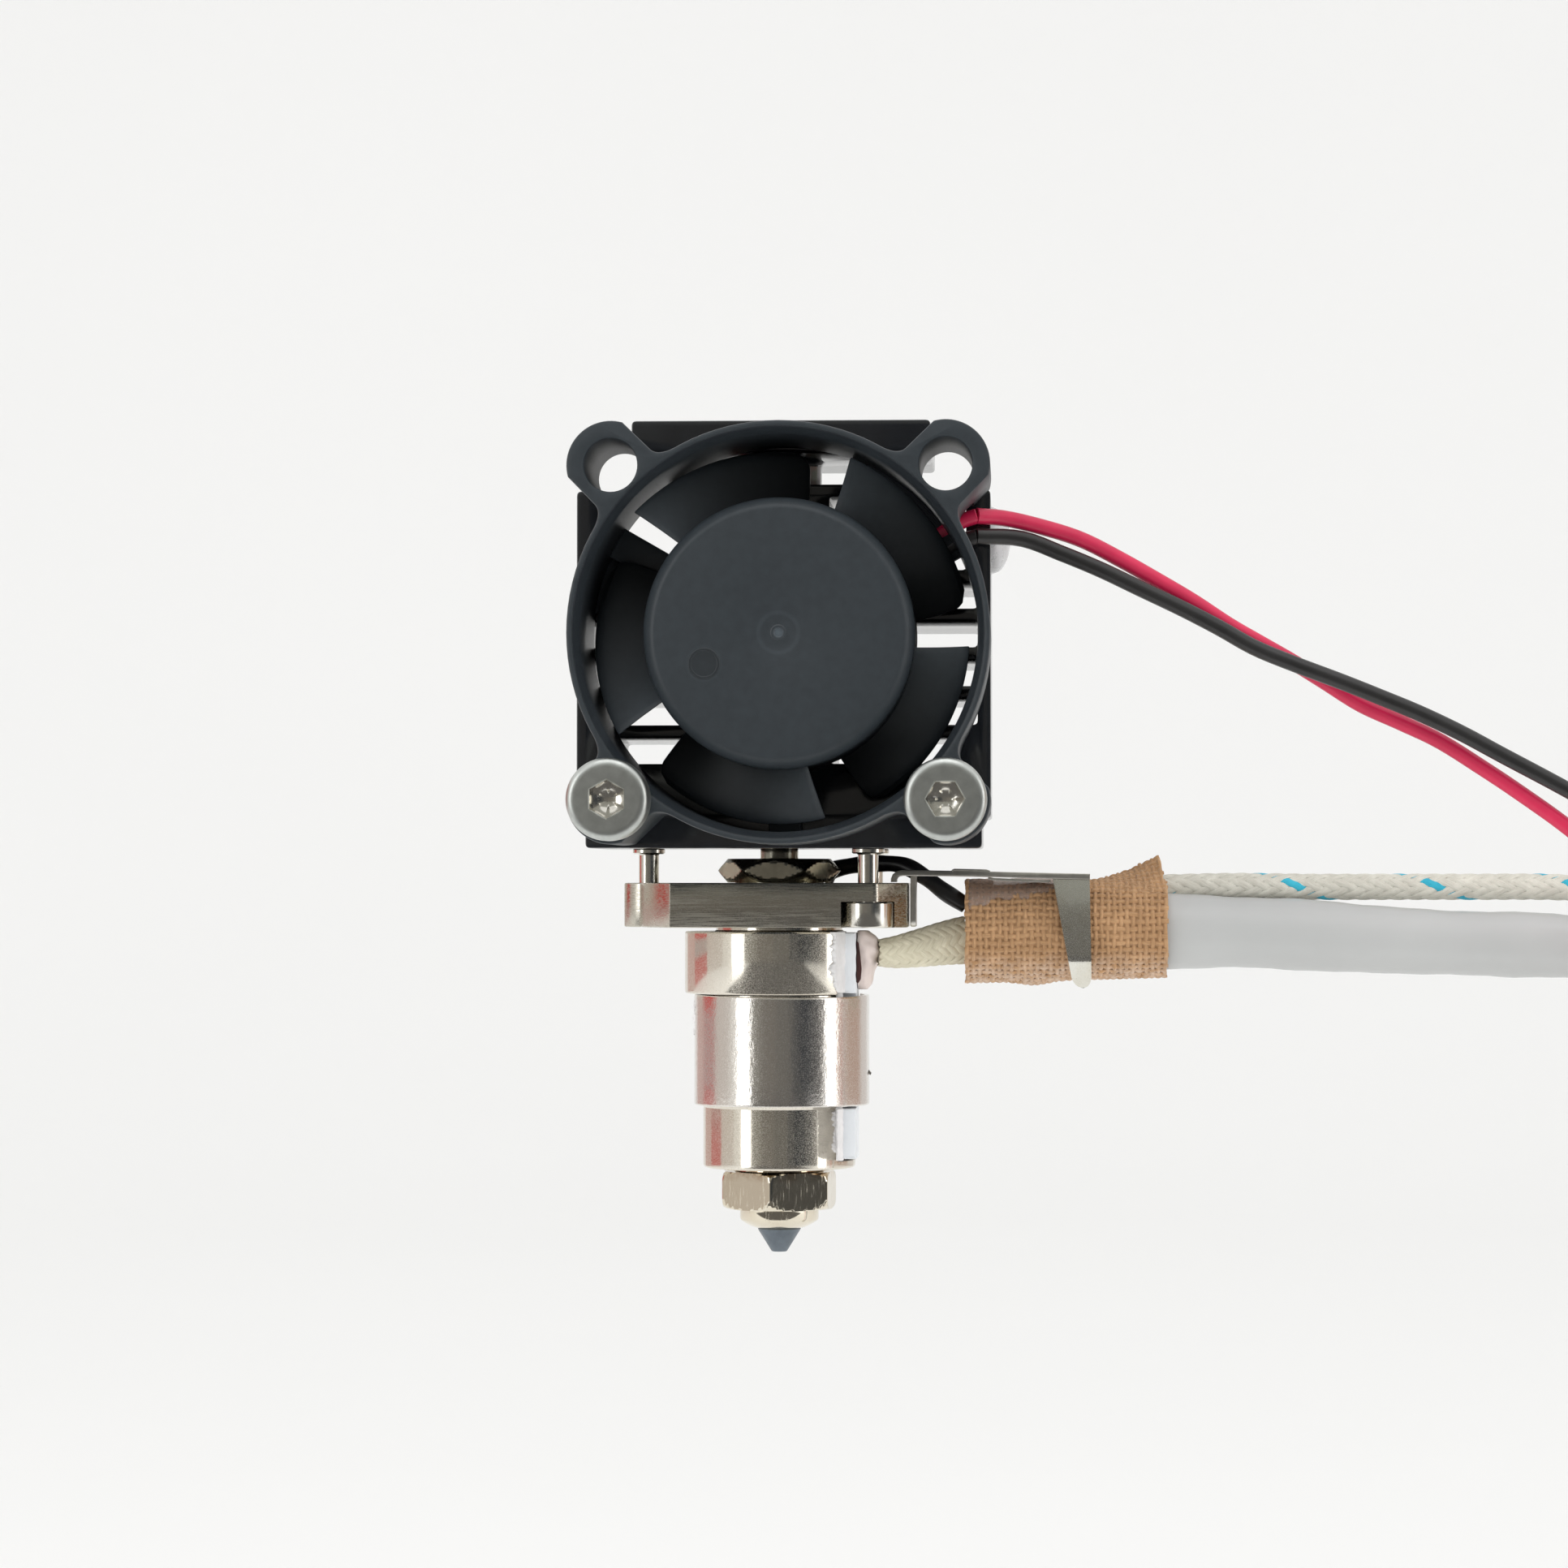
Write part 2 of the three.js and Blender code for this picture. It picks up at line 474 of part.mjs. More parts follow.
function clampPlate() {
  const { top, bottom, front, lobe } = PLATE;
  const back = 2 * AXIS.y - front;
  const right = 7.62;
  const outline = [[-7.15, front], [5.75, front], [right, front + 3], [right, back - 3], [5.75, back], [-7.15, back]];
  for (let k = 0; k <= 8; k += 1) {
    const a = degrees(107 + (146 * k) / 8);
    outline.push([LEFT_POST[0] + lobe * Math.cos(a), LEFT_POST[1] + lobe * Math.sin(a)]);
  }
  const cuts = [rod("z", AXIS.x, AXIS.y, bottom - 1, top + 1, NECK_THREAD + CLEAR, 24)];
  for (const [x, y] of [FRONT_POST, REAR_POST]) {
    cuts.push(rod("z", x, y, bottom - 1, top + 1, PLATE_HOLE, 16));
    const seat = bottom + POST.headTall + 0.05;
    const room = POST.head + 0.1;
    const outside = y < AXIS.y ? [front - 1, y] : [y, back + 1];
    cuts.push(rod("z", x, y, bottom - 1, seat, room, 32));
    cuts.push(box(x - room, x + room, ...outside, bottom - 1, seat));
  }
  cuts.push(rod("z", LEFT_POST[0], LEFT_POST[1], bottom + 0.5, top + 1, POST.thread + 0.04, 16));
  cuts.push(rod("z", THERMISTOR.x, THERMISTOR.y, bottom - 1, top + 1, THERMISTOR.radius + CLEAR, 16));
  return cut(raised(outline, bottom, top), ...cuts);
}

function tieScrew([x, y], headed) {
  const { shank, flange, flangeThick, thread, head, headTall } = POST;
  const seat = SINK.bottom - flangeThick;
  const parts = [
    rod("z", x, y, seat, SINK.bottom, flange, 20),
    rod("z", x, y, SINK.bottom - 0.1, POST_TAP_TOP - 0.3, thread, 16),
  ];
  if (headed) {
    parts.push(rod("z", x, y, PLATE.bottom + 0.1, seat + 0.1, shank, 20));
    const low = PLATE.bottom;
    const socket = rod("z", x, y, low - 1, low + 0.8, 0.87, 6);
    parts.push(cut(rod("z", x, y, low, low + headTall, head, 32), socket));
  } else {
    parts.push(rod("z", x, y, PLATE.top, seat + 0.1, shank, 20));
    parts.push(rod("z", x, y, PLATE.bottom + 0.7, PLATE.top + 0.1, thread, 16));
  }
  return join(...parts);
}

const THERMISTOR = { x: 2.1, y: -3.9, radius: 0.75, low: -20.6, high: -15.2 };

add("clamp_plate", clampPlate(), LOOK.nickel());
add("tie_stud_left", tieScrew(LEFT_POST, false), LOOK.nickel());
add("tie_screw_front", tieScrew(FRONT_POST, true), LOOK.nickel());
add("tie_screw_rear", tieScrew(REAR_POST, true), LOOK.nickel());

// ---------------------------------------------------------------- heater core
function heaterCore() {
  const z = CORE_Z;
  const body = turned([
    [0, z.end], [CORE.lower - 0.15, z.end], [CORE.lower, z.end + 0.15], [CORE.lower, z.lower],
    [CORE.waist, z.lower], [CORE.waist, z.waist], [CORE.collar, z.waist], [CORE.collar, z.collar],
    [CORE.neck, z.collar], [CORE.neck, z.neck], [0, z.neck],
  ], AXIS.x, AXIS.y, 48);
  const flat = box(CORE.flat, 12, -20, 5, z.lip, z.collar);
  const breakHole = rod("z", AXIS.x, AXIS.y, -20.8, 0, NECK_THREAD + CLEAR, 24);
  const nozzleHole = rod("z", AXIS.x, AXIS.y, -40, -26.8, NECK_THREAD + CLEAR, 24);
  const melt = rod("z", AXIS.x, AXIS.y, -27, -20, 1.0, 20);
  const { x, y, radius, low } = THERMISTOR;
  const sensor = rod("z", x, y, low - 0.1, 0, radius + CLEAR, 16);
  return cut(body, flat, breakHole, nozzleHole, melt, sensor);
}

const LEAD_EXIT = { y: -9.0, z: -19.35 };
const SLEEVE_AXIS = AXIS.x + SLEEVE.offset;

function springSleeve() {
  const { radius, sheet, top, bottom } = SLEEVE;
  const wall = ring("z", SLEEVE_AXIS, AXIS.y, bottom, top, radius - sheet, radius, 64);
  const gapEdge = AXIS.y + 2.6;
  return cut(wall, raised([[2, gapEdge], [9, gapEdge + 1.5], [9, gapEdge + 4], [2, gapEdge + 4]], bottom - 1, top + 1));
}

function pottingCement() {
  const outline = [
    [4.55, -10.4], [5.3, -10.2], [5.75, -9.2], [5.8, -8.1], [5.55, -6.9], [5.1, -6.1], [4.55, -5.9],
  ];
  return raised(outline, -21.7, -17.95);
}

add("heater_core", heaterCore(), LOOK.nickel());
add("thermal_cement", box(
  CORE.flat + 0.02, HEATER.inner - 0.02, AXIS.y - 2.3, AXIS.y + 2.3, HEATER.bottom, HEATER.top,
), LOOK.potting());
add("ceramic_heater", box(
  HEATER.inner, HEATER.outer, AXIS.y - HEATER.half, AXIS.y + HEATER.half, HEATER.bottom, HEATER.top,
), LOOK.ceramic());
add("spring_sleeve", springSleeve(), LOOK.nickel());
add("potting_cement", pottingCement(), LOOK.potting());
add("thermistor", rod("z", THERMISTOR.x, THERMISTOR.y, THERMISTOR.low, THERMISTOR.high, THERMISTOR.radius, 16), LOOK.steel());

// ---------------------------------------------------------------- nozzle
const NOZZLE_THREAD_TOP = -27.1;
const STEM = { radius: 1.0, top: -34.0 };

function nozzleBody() {
  const { flats, turn, top, hexEnd, collar, collarEnd } = NOZZLE;
  const corner = flats / 2 / Math.cos(Math.PI / 6);
  const chamfer = turned([
    [0, hexEnd], [corner - 0.5, hexEnd], [corner, hexEnd + 0.3], [corner, top - 0.3], [corner - 0.5, top], [0, top],
  ], AXIS.x, AXIS.y, 48);
  const hex = hexagon(flats, hexEnd, top, AXIS.x, AXIS.y, turn).intersect(chamfer);
  const round = turned([
    [0, collarEnd], [collar - 0.55, collarEnd], [collar - 0.17, collarEnd + 0.16], [collar, collarEnd + 0.5],
    [collar, hexEnd + 0.1], [0, hexEnd + 0.1],
  ], AXIS.x, AXIS.y, 32);
  return cut(
    join(hex, round, rod("z", AXIS.x, AXIS.y, top - 0.1, NOZZLE_THREAD_TOP, NECK_THREAD, 24)),
    rod("z", AXIS.x, AXIS.y, STEM.top - 1, 0, 1.0, 20),
    rod("z", AXIS.x, AXIS.y, -40, STEM.top, STEM.radius + 0.05, 20),
  );
}

function nozzleTip() {
  const cone = turned([
    [0, TIP.end], [TIP.flat, TIP.end], [TIP.root, TIP.start], [STEM.radius, TIP.start],
    [STEM.radius, STEM.top - 0.05], [0, STEM.top - 0.05],
  ], AXIS.x, AXIS.y, 32);
  return cut(
    cone,
    rod("z", AXIS.x, AXIS.y, TIP.end - 1, TIP.end + 0.5, TIP.bore, 12),
    rod("z", AXIS.x, AXIS.y, TIP.end + 0.45, STEM.top + 1, 0.6, 16),
  );
}

add("nozzle_body", nozzleBody(), LOOK.nickel());
add("nozzle_tip", nozzleTip(), LOOK.darkSteel());

// ---------------------------------------------------------------- leads between the core and the wrap
// The heater leads' braided sleeve widens from a round end into a flatter, deeper one.
function ellipse(x, y, z, wide, tall, sides) {
  const turn = (2 * Math.PI) / sides;
  return Array.from({ length: sides }, (_, k) => [x, y + wide * Math.cos(k * turn), z + tall * Math.sin(k * turn)]);
}

function leadSleeve() {
  const stations = [
    [5.95, LEAD_EXIT.y, LEAD_EXIT.z, 0.84, 0.84], [7.2, -8.7, -19.25, 0.9, 0.98], [8.6, -8.3, -19.0, 0.98, 1.2],
    [9.9, -7.9, -18.75, 1.05, 1.38], [10.85, -7.6, -18.6, 1.1, 1.46],
  ];
  return lofted(stations.map(([x, y, z, wide, tall]) => ellipse(x, y, z, wide, tall, 16)));
}

const SENSOR_LEAD = [
  [2.1, -3.9, -14.85], [2.5, -4.05, -14.2], [3.9, -4.7, -13.85], [5.6, -5.6, -13.72], [7.2, -6.4, -13.85],
  [8.6, -6.9, -14.6], [9.8, -7.1, -15.5], [10.85, -7.2, -16.2],
];

add("heater_lead_sleeve", leadSleeve(), LOOK.cream());
add("thermistor_lead_sleeve", tube(SENSOR_LEAD, 0.5, 8, 24), LOOK.rubberBlack());

// ---------------------------------------------------------------- cable bracket and wrap
function cableBracket() {
  const { z, left, right, front, back } = ARM;
  const legX = 7.72;
  const arm = box(left, right, front, back, z - SHEET, z);
  const foot = box(left, legX + SHEET, -10.4, back, PLATE.top + 0.02, z - SHEET / 2);
  const leg = box(legX, legX + SHEET, -10.4, -7.4, -17.7, z - SHEET / 2);
  const tab = standing([
    [right, z], [right - 2.35, z], [right - 2.35, z - 0.7], [right - 1.15, -20.9], [right - 0.8, -21.4],
    [right - 0.3, -21.6], [right + 0.05, -21.35], [right + 0.1, -20.9],
  ].reverse(), front, front + SHEET);
  return join(arm, foot, leg, tab);
}

// The wrap's outline seen along the cable is round, and sags below its axis near the middle.
function cableWrap() {
  const { left, right, z, radius } = WRAP;
  const stations = [[left, 0.1], [14, 0.12], [15.5, 0.35], [17.2, 0.1], [20, 0.0], [right, -0.22]];
  const sections = stations.map(([x, sag]) =>
    ellipse(x, AXIS.y, z, radius, radius, 28).map(([px, py, pz]) => {
      const below = Math.max(0, (z - pz) / radius);
      return [px, py, pz - sag * below];
    }),
  );
  return lofted(sections);
}

add("cable_bracket", cableBracket(), LOOK.steel());
add("cable_wrap", cableWrap(), LOOK.cloth());

// ---------------------------------------------------------------- free leads and their connectors
function lead({ route, radius, sides }) {
  return tube(route, radius, sides, Math.min(80, Math.round(40 / radius)));
}

// A two-way crimp housing hanging on its leads, with a polarising rib on the front.
function connector(x, y, top, wide, deep, tall) {
  const shell = box(x - wide / 2, x + wide / 2, y - deep / 2, y + deep / 2, top - tall, top);
  const rib = box(x - wide * 0.14, x + wide * 0.14, y - deep / 2 - 0.5, y - deep / 2 + 0.1, top - tall, top - tall * 0.35);
  const pins = [-1, 1].map((side) => {
    const at = x + (side * wide) / 4;
    return box(at - 0.45, at + 0.45, y - 0.45, y + 0.45, top - tall - 1, top - tall + 4);
  });
  return cut(join(shell, rib), ...pins);
}

const endOf = ({ route }) => route[route.length - 1];
const GAP = 0.3;

add("fan_wire_red", lead(RED), LOOK.red());
add("fan_wire_black", lead(BLACK), LOOK.rubberBlack());
add("fan_connector", connector(58.65, -13.4, endOf(RED)[2] - GAP, 7.4, 5.8, 9.8), LOOK.housing());
add("heater_cable", lead(JACKET), LOOK.jacket());
add("heater_connector", connector(endOf(JACKET)[0], -7.5, endOf(JACKET)[2] - GAP, 8.2, 6.2, 11), LOOK.housing());
add("thermistor_cable", lead(BRAID), LOOK.cream());
add("thermistor_connector", connector(endOf(BRAID)[0], -7.5, endOf(BRAID)[2] - GAP, 5.8, 4.6, 7.8), LOOK.housing());

export default assembly;
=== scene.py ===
"""Looks of the fan-cooled hotend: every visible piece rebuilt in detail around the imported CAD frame."""

import math

import bpy
import bmesh
from mathutils import Matrix, Vector, noise


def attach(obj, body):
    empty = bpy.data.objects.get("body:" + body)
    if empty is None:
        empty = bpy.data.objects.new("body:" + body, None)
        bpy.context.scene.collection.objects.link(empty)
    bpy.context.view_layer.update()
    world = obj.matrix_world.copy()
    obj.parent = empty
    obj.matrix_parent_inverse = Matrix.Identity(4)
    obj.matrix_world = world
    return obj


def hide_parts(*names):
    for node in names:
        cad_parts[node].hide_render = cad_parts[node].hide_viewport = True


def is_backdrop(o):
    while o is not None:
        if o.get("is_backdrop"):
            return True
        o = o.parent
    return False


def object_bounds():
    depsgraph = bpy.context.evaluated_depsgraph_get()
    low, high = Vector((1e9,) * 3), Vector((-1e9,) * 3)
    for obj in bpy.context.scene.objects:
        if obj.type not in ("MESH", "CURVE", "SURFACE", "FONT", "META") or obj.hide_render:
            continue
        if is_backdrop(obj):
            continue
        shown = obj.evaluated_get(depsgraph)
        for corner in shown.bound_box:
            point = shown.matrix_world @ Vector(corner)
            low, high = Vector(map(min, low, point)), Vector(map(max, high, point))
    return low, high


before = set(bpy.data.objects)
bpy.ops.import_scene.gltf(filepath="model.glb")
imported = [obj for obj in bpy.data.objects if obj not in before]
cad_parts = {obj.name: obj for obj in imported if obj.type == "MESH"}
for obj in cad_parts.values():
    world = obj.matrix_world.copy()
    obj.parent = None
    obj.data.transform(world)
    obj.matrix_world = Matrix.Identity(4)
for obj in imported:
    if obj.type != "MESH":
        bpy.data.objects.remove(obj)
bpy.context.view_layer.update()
MM = 0.001

# ------------------------------------------------------------------ camera
camera_data = bpy.data.cameras.new("camera")
camera_data.lens = 102.47
camera_data.sensor_width = 36
camera_data.clip_start = 0.01
camera_data.clip_end = 20
camera = bpy.data.objects.new("camera", camera_data)
bpy.context.scene.collection.objects.link(camera)
camera.location = (0.01451, -0.290, -0.0148)
look = Vector((-0.05247, 0.99839, 0.02161))
camera.rotation_mode = "QUATERNION"
camera.rotation_quaternion = look.to_track_quat("-Z", "Y")
bpy.context.scene.camera = camera
bpy.context.scene.view_settings.view_transform = "Standard"

# ------------------------------------------------------------------ sizes in millimetres, as in the CAD part
AXIS = (-0.63, -7.5)
STUD, FRONT_POST, REAR_POST = (-8.91, -7.5), (5.16, -12.3), (5.16, -2.7)
FAN_X = 0.2
FAN_FRONT, FAN_BACK = -25.0, -15.0
MARK = (FAN_X - 4.45, -1.85)
SINK = (-12.8, 12.8, -15.0, 0.0, -12.8, 13.65)
SHELF_TOP, SHELF_UNDER, SHELF_HALF = 9.66, 8.91, 6.5
WINDOW_HALF = 11.3
WEB = (-4.13, 2.87)
FIN_TOP, FIN_PITCH, FIN_THICK = 4.35, 2.39, 0.75


# ------------------------------------------------------------------ mesh helpers
def new_object(name, verts, faces, uvs=None):
    mesh = bpy.data.meshes.new(name)
    mesh.from_pydata([(v[0] * MM, v[1] * MM, v[2] * MM) for v in verts], [], faces)
    if uvs:
        layer = mesh.uv_layers.new(name="UVMap")
        for loop in mesh.loops:
            layer.data[loop.index].uv = uvs[loop.vertex_index]
    obj = bpy.data.objects.new(name, mesh)
    bpy.context.scene.collection.objects.link(obj)
    return obj


def recalc(obj, merge=0.0):
    bm = bmesh.new()
    bm.from_mesh(obj.data)
    if merge:
        bmesh.ops.remove_doubles(bm, verts=bm.verts, dist=merge * MM)
    bmesh.ops.recalc_face_normals(bm, faces=bm.faces)
    bm.to_mesh(obj.data)
    bm.free()
    return obj


def smooth(obj, angle=32):
    obj.data.shade_smooth()
    obj.data.set_sharp_from_angle(angle=math.radians(angle))
    return obj


def dress(obj, mat, replaces=(), body="hotend", angle=32):
    smooth(obj, angle)
    if not obj.data.materials:
        obj.data.materials.append(mat)
    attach(obj, body)
    if replaces:
        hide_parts(*([replaces] if isinstance(replaces, str) else replaces))
    return obj


def joined(name, objects):
    base = bpy.data.meshes.new(name)
    bm = bmesh.new()
    for o in objects:
        evaluated = o.evaluated_get(bpy.context.evaluated_depsgraph_get())
        mesh = evaluated.to_mesh()
        mesh.transform(o.matrix_world)
        bm.from_mesh(mesh)
        evaluated.to_mesh_clear()
    bm.to_mesh(base)
    bm.free()
    for o in objects:
        data = o.data
        bpy.data.objects.remove(o)
        if data.users == 0 and isinstance(data, bpy.types.Mesh):
            bpy.data.meshes.remove(data)
    obj = bpy.data.objects.new(name, base)
    bpy.context.scene.collection.objects.link(obj)
    return obj


def arc(cx, cy, r, a0, a1, n):
    out = []
    for k in range(n + 1):
        a = math.radians(a0 + (a1 - a0) * k / n)
        out.append((cx + r * math.cos(a), cy + r * math.sin(a)))
    return out


def circle(cx, cy, r, n=64):
    return arc(cx, cy, r, 0, 360 * (n - 1) / n, n - 1)


def wander(x, y, z):
    return noise.noise(Vector((x, y, z)))


def oblong(x0, x1, y0, y1):
    return [(x0, y0), (x1, y0), (x1, y1), (x0, y1)]


def hoop_faces(rings, segs, closed=False):
    """Faces between rings of segs points each; closed also joins the last ring to the first."""
    faces = []
    for i in range(rings if closed else rings - 1):
        a, b = i * segs, (i + 1) % rings * segs
        for k in range(segs):
            m = (k + 1) % segs
            faces.append((a + k, a + m, b + m, b + k))
    return faces


def grid_faces(rows, cols, start=0):
    """Faces over a grid of (rows + 1) by (cols + 1) points."""
    wide = cols + 1
    return [(a, a + 1, a + wide + 1, a + wide)
            for i in range(rows) for a in range(start + i * wide, start + i * wide + cols)]


def skin_faces(rows, cols, turned=True):
    """Faces of a thin body of two such grids, closed round the rim. turned reverses the first skin's."""
    wide, n = cols + 1, (rows + 1) * (cols + 1)
    first = grid_faces(rows, cols)
    if turned:
        first = [face[::-1] for face in first]
    faces = first + grid_faces(rows, cols, n)
    for i in range(rows):
        for a in (i * wide, i * wide + cols):
            faces.append((a, a + wide, a + wide + n, a + n))
    for j in range(cols):
        for a in (j, rows * wide + j):
            faces.append((a, a + 1, a + 1 + n, a + n))
    return faces


def rounded(points, r, n=4):
    """A polygon with each corner rounded by radius r (or its own radius, third in the point)."""
    out = []
    count = len(points)
    for i, p in enumerate(points):
        a = Vector(points[i - 1][:2])
        b = Vector(p[:2])
        c = Vector(points[(i + 1) % count][:2])
        radius = p[2] if len(p) > 2 else r
        u, v = (a - b), (c - b)
        reach = min(radius, u.length * 0.45, v.length * 0.45)
        u.normalize()
        v.normalize()
        if reach <= 0 or abs(u.dot(v)) > 0.9995:
            out.append(tuple(b))
            continue
        start, end = b + u * reach, b + v * reach
        for k in range(n + 1):
            t = k / n
            q = start * (1 - t) ** 2 + b * 2 * t * (1 - t) + end * t * t
            out.append((q.x, q.y))
    return out


def plate(name, outline, holes, along, low, high, bevel=0.1):
    """A flat body with holes. along is "z" (outline in XY) or "y" (outline in XZ) or "x" (outline in YZ)."""
    data = bpy.data.curves.new(name, "CURVE")
    data.dimensions = "2D"
    data.fill_mode = "BOTH"
    data.extrude = max((high - low) / 2 - bevel, 0.001)
    data.bevel_depth = bevel
    data.bevel_resolution = 1
    data.offset = -bevel
    for ring in [outline, *holes]:
        spline = data.splines.new("POLY")
        spline.points.add(len(ring) - 1)
        for point, (x, y) in zip(spline.points, ring):
            point.co = (x, y, 0, 1)
        spline.use_cyclic_u = True
    temp = bpy.data.objects.new(name + "_temp", data)
    bpy.context.scene.collection.objects.link(temp)
    bpy.context.view_layer.update()
    mesh = bpy.data.meshes.new_from_object(temp.evaluated_get(bpy.context.evaluated_depsgraph_get()))
    bpy.data.objects.remove(temp)
    mid = (low + high) / 2
    if along == "z":
        turn = Matrix.Translation((0, 0, mid))
    elif along == "y":
        turn = Matrix(((1, 0, 0, 0), (0, 0, -1, mid), (0, 1, 0, 0), (0, 0, 0, 1)))
    else:
        turn = Matrix(((0, 0, 1, mid), (1, 0, 0, 0), (0, 1, 0, 0), (0, 0, 0, 1)))
    mesh.transform(Matrix.Scale(MM, 4) @ turn)
    obj = bpy.data.objects.new(name, mesh)
    obj.data.materials.clear()
    bpy.context.scene.collection.objects.link(obj)
    return recalc(obj, 0.004)


def polar(name, profile, centre, axis="z", segs=96, limit=None, closed=False):
    """A turned body: profile is [(radius, height)], limit(angle, height, radius) may cut it back.
    A closed profile makes a ring; an open one starts and ends on the axis or leaves an open shell."""
    verts, uvs = [], []
    rows = len(profile)
    for i, (r, h) in enumerate(profile):
        for k in range(segs):
            a = 2 * math.pi * k / segs
            rr = r if limit is None else min(r, limit(a, h, r))
            u, v = rr * math.cos(a), rr * math.sin(a)
            if axis == "z":
                verts.append((centre[0] + u, centre[1] + v, h))
            elif axis == "y":
                verts.append((centre[0] + u, h, centre[1] + v))
            else:
                verts.append((h, centre[0] + u, centre[1] + v))
            uvs.append((k / segs, i / rows))
    return recalc(new_object(name, verts, hoop_faces(rows, segs, closed), uvs), 0.0005)


def hex_limit(flats, turn):
    def limit(a, h, r):
        local = (math.degrees(a) - turn) % 60 - 30
        return flats / 2 / math.cos(math.radians(local))
    return limit


def sampled(points, step):
    """A smooth run of points through the given ones, about step apart."""
    pts = [Vector(p) for p in points]
    ends = [pts[0] * 2 - pts[1], *pts, pts[-1] * 2 - pts[-2]]
    dense = []
    for i in range(1, len(ends) - 2):
        p0, p1, p2, p3 = ends[i - 1], ends[i], ends[i + 1], ends[i + 2]
        for k in range(16):
            t = k / 16
            dense.append(0.5 * ((2 * p1) + (p2 - p0) * t + (2 * p0 - 5 * p1 + 4 * p2 - p3) * t * t
                                + (3 * p1 - p0 - 3 * p2 + p3) * t ** 3))
    dense.append(pts[-1])
    lengths = [0.0]
    for a, b in zip(dense, dense[1:]):
        lengths.append(lengths[-1] + (b - a).length)
    count = max(2, round(lengths[-1] / step))
    out, j = [], 0
    for k in range(count + 1):
        want = lengths[-1] * k / count
        while j < len(lengths) - 2 and lengths[j + 1] < want:
            j += 1
        span = max(lengths[j + 1] - lengths[j], 1e-9)
        out.append(dense[j].lerp(dense[j + 1], min(1, (want - lengths[j]) / span)))
    return out


def frames(path):
    """Tangent, side and up vectors carried along a path without twist."""
    out = []
    ref = Vector((0, 0, 1))
    for i, p in enumerate(path):
        t = (path[min(i + 1, len(path) - 1)] - path[max(i - 1, 0)]).normalized()
        side = t.cross(ref)
        if side.length < 1e-6:
            side = t.cross(Vector((0, 1, 0)))
        side.normalize()
        ref = side.cross(t).normalized()
        out.append((t, side, ref))
    return out


def tube(name, path, radius, segs=20, cap=0.12):
    """A solid tube with softly rounded ends. radius is a number or a function of the distance along."""
    size = radius if callable(radius) else (lambda s: radius)
    verts, uvs, rings = [], [], []
    s = 0.0
    for i, (p, frame_here) in enumerate(zip(path, frames(path))):
        if i:
            s += (p - path[i - 1]).length
        got = size(s)
        wide, tall = got if isinstance(got, tuple) else (got, got)
        rings.append((p, frame_here, wide, tall, s))
    first, last = rings[0], rings[-1]
    start = (first[0], first[1], first[2] - cap, first[3] - cap, 0.0)
    end = (last[0], last[1], last[2] - cap, last[3] - cap, last[4])
    rings[0] = (first[0] + first[1][0] * cap, *first[1:])
    rings[-1] = (last[0] - last[1][0] * cap, *last[1:])
    rings = [start, *rings, end]
    for p, (t, side, ref), wide, tall, along in rings:
        for k in range(segs):
            a = 2 * math.pi * k / segs
            verts.append(p + side * (wide * math.cos(a)) + ref * (tall * math.sin(a)))
            uvs.append((k / segs, along / 10))
    faces = hoop_faces(len(rings), segs)
    faces.append(tuple(range(segs)))
    faces.append(tuple(reversed(range((len(rings) - 1) * segs, len(rings) * segs))))
    return recalc(new_object(name, verts, faces, uvs))


def ribbons(name, lines, width, thick):
    """Flat yarns: each line is [(point, across, out)]; a yarn is a low arch of that width and thickness."""
    verts, faces, uvs, tags = [], [], [], []
    shape = [(-0.5, 0.0), (-0.32, 0.72), (0.0, 1.0), (0.32, 0.72), (0.5, 0.0)]
    n = len(shape)
    for number, (line, tag) in enumerate(lines):
        base, had = len(verts), len(faces)
        run = 0.0
        for i, (p, across, out) in enumerate(line):
            if i:
                run += (p - line[i - 1][0]).length
            for w, h in shape:
                verts.append(p + across * (w * width) + out * (h * thick))
                uvs.append((w + number * 1.37, run))
        for i in range(len(line) - 1):
            for k in range(n - 1):
                a = base + i * n + k
                faces.append((a, a + 1, a + n + 1, a + n))
        faces.append(tuple(base + k for k in range(n)))
        faces.append(tuple(base + (len(line) - 1) * n + k for k in reversed(range(n))))
        tags += [tag] * (len(faces) - had)
    obj = new_object(name, verts, faces, uvs)
    for polygon, tag in zip(obj.data.polygons, tags):
        polygon.material_index = tag
    return obj


def braid(name, path, size, carriers, pitch, width, thick, wave, tracer=None, turn=0.0):
    """A two-over-two-under braid round a path: carriers strands each way, tracer the coloured one."""
    placed = frames(path)
    lines = []
    run = [0.0]
    for a, b in zip(path, path[1:]):
        run.append(run[-1] + (b - a).length)
    for way in (1, -1):
        for i in range(carriers):
            line = []
            for p, (t, side, ref), s in zip(path, placed, run):
                wide, tall = size(s)
                crossing = 2 * i + way * (s * 2 * carriers / pitch) - 0.5
                lift = way * math.cos(math.pi / 2 * crossing)
                a = way * 2 * math.pi * s / pitch + 2 * math.pi * i / carriers + turn
                out = side * math.cos(a) + ref * math.sin(a)
                round_dir = (ref * math.cos(a) - side * math.sin(a)) * way
                lead = (t * pitch / (2 * math.pi * (wide + tall) / 2) + round_dir).normalized()
                across = lead.cross(out).normalized()
                rise = wave * lift - thick
                at = p + side * ((wide + rise) * math.cos(a)) + ref * ((tall + rise) * math.sin(a))
                line.append((at, across, out))
            lines.append((line, 1 if (way, i) == tracer else 0))
    return ribbons(name, lines, width, thick)


# ------------------------------------------------------------------ materials
GRAIN_GLOSS = 0.04  # how far a grained surface's roughness swings either way


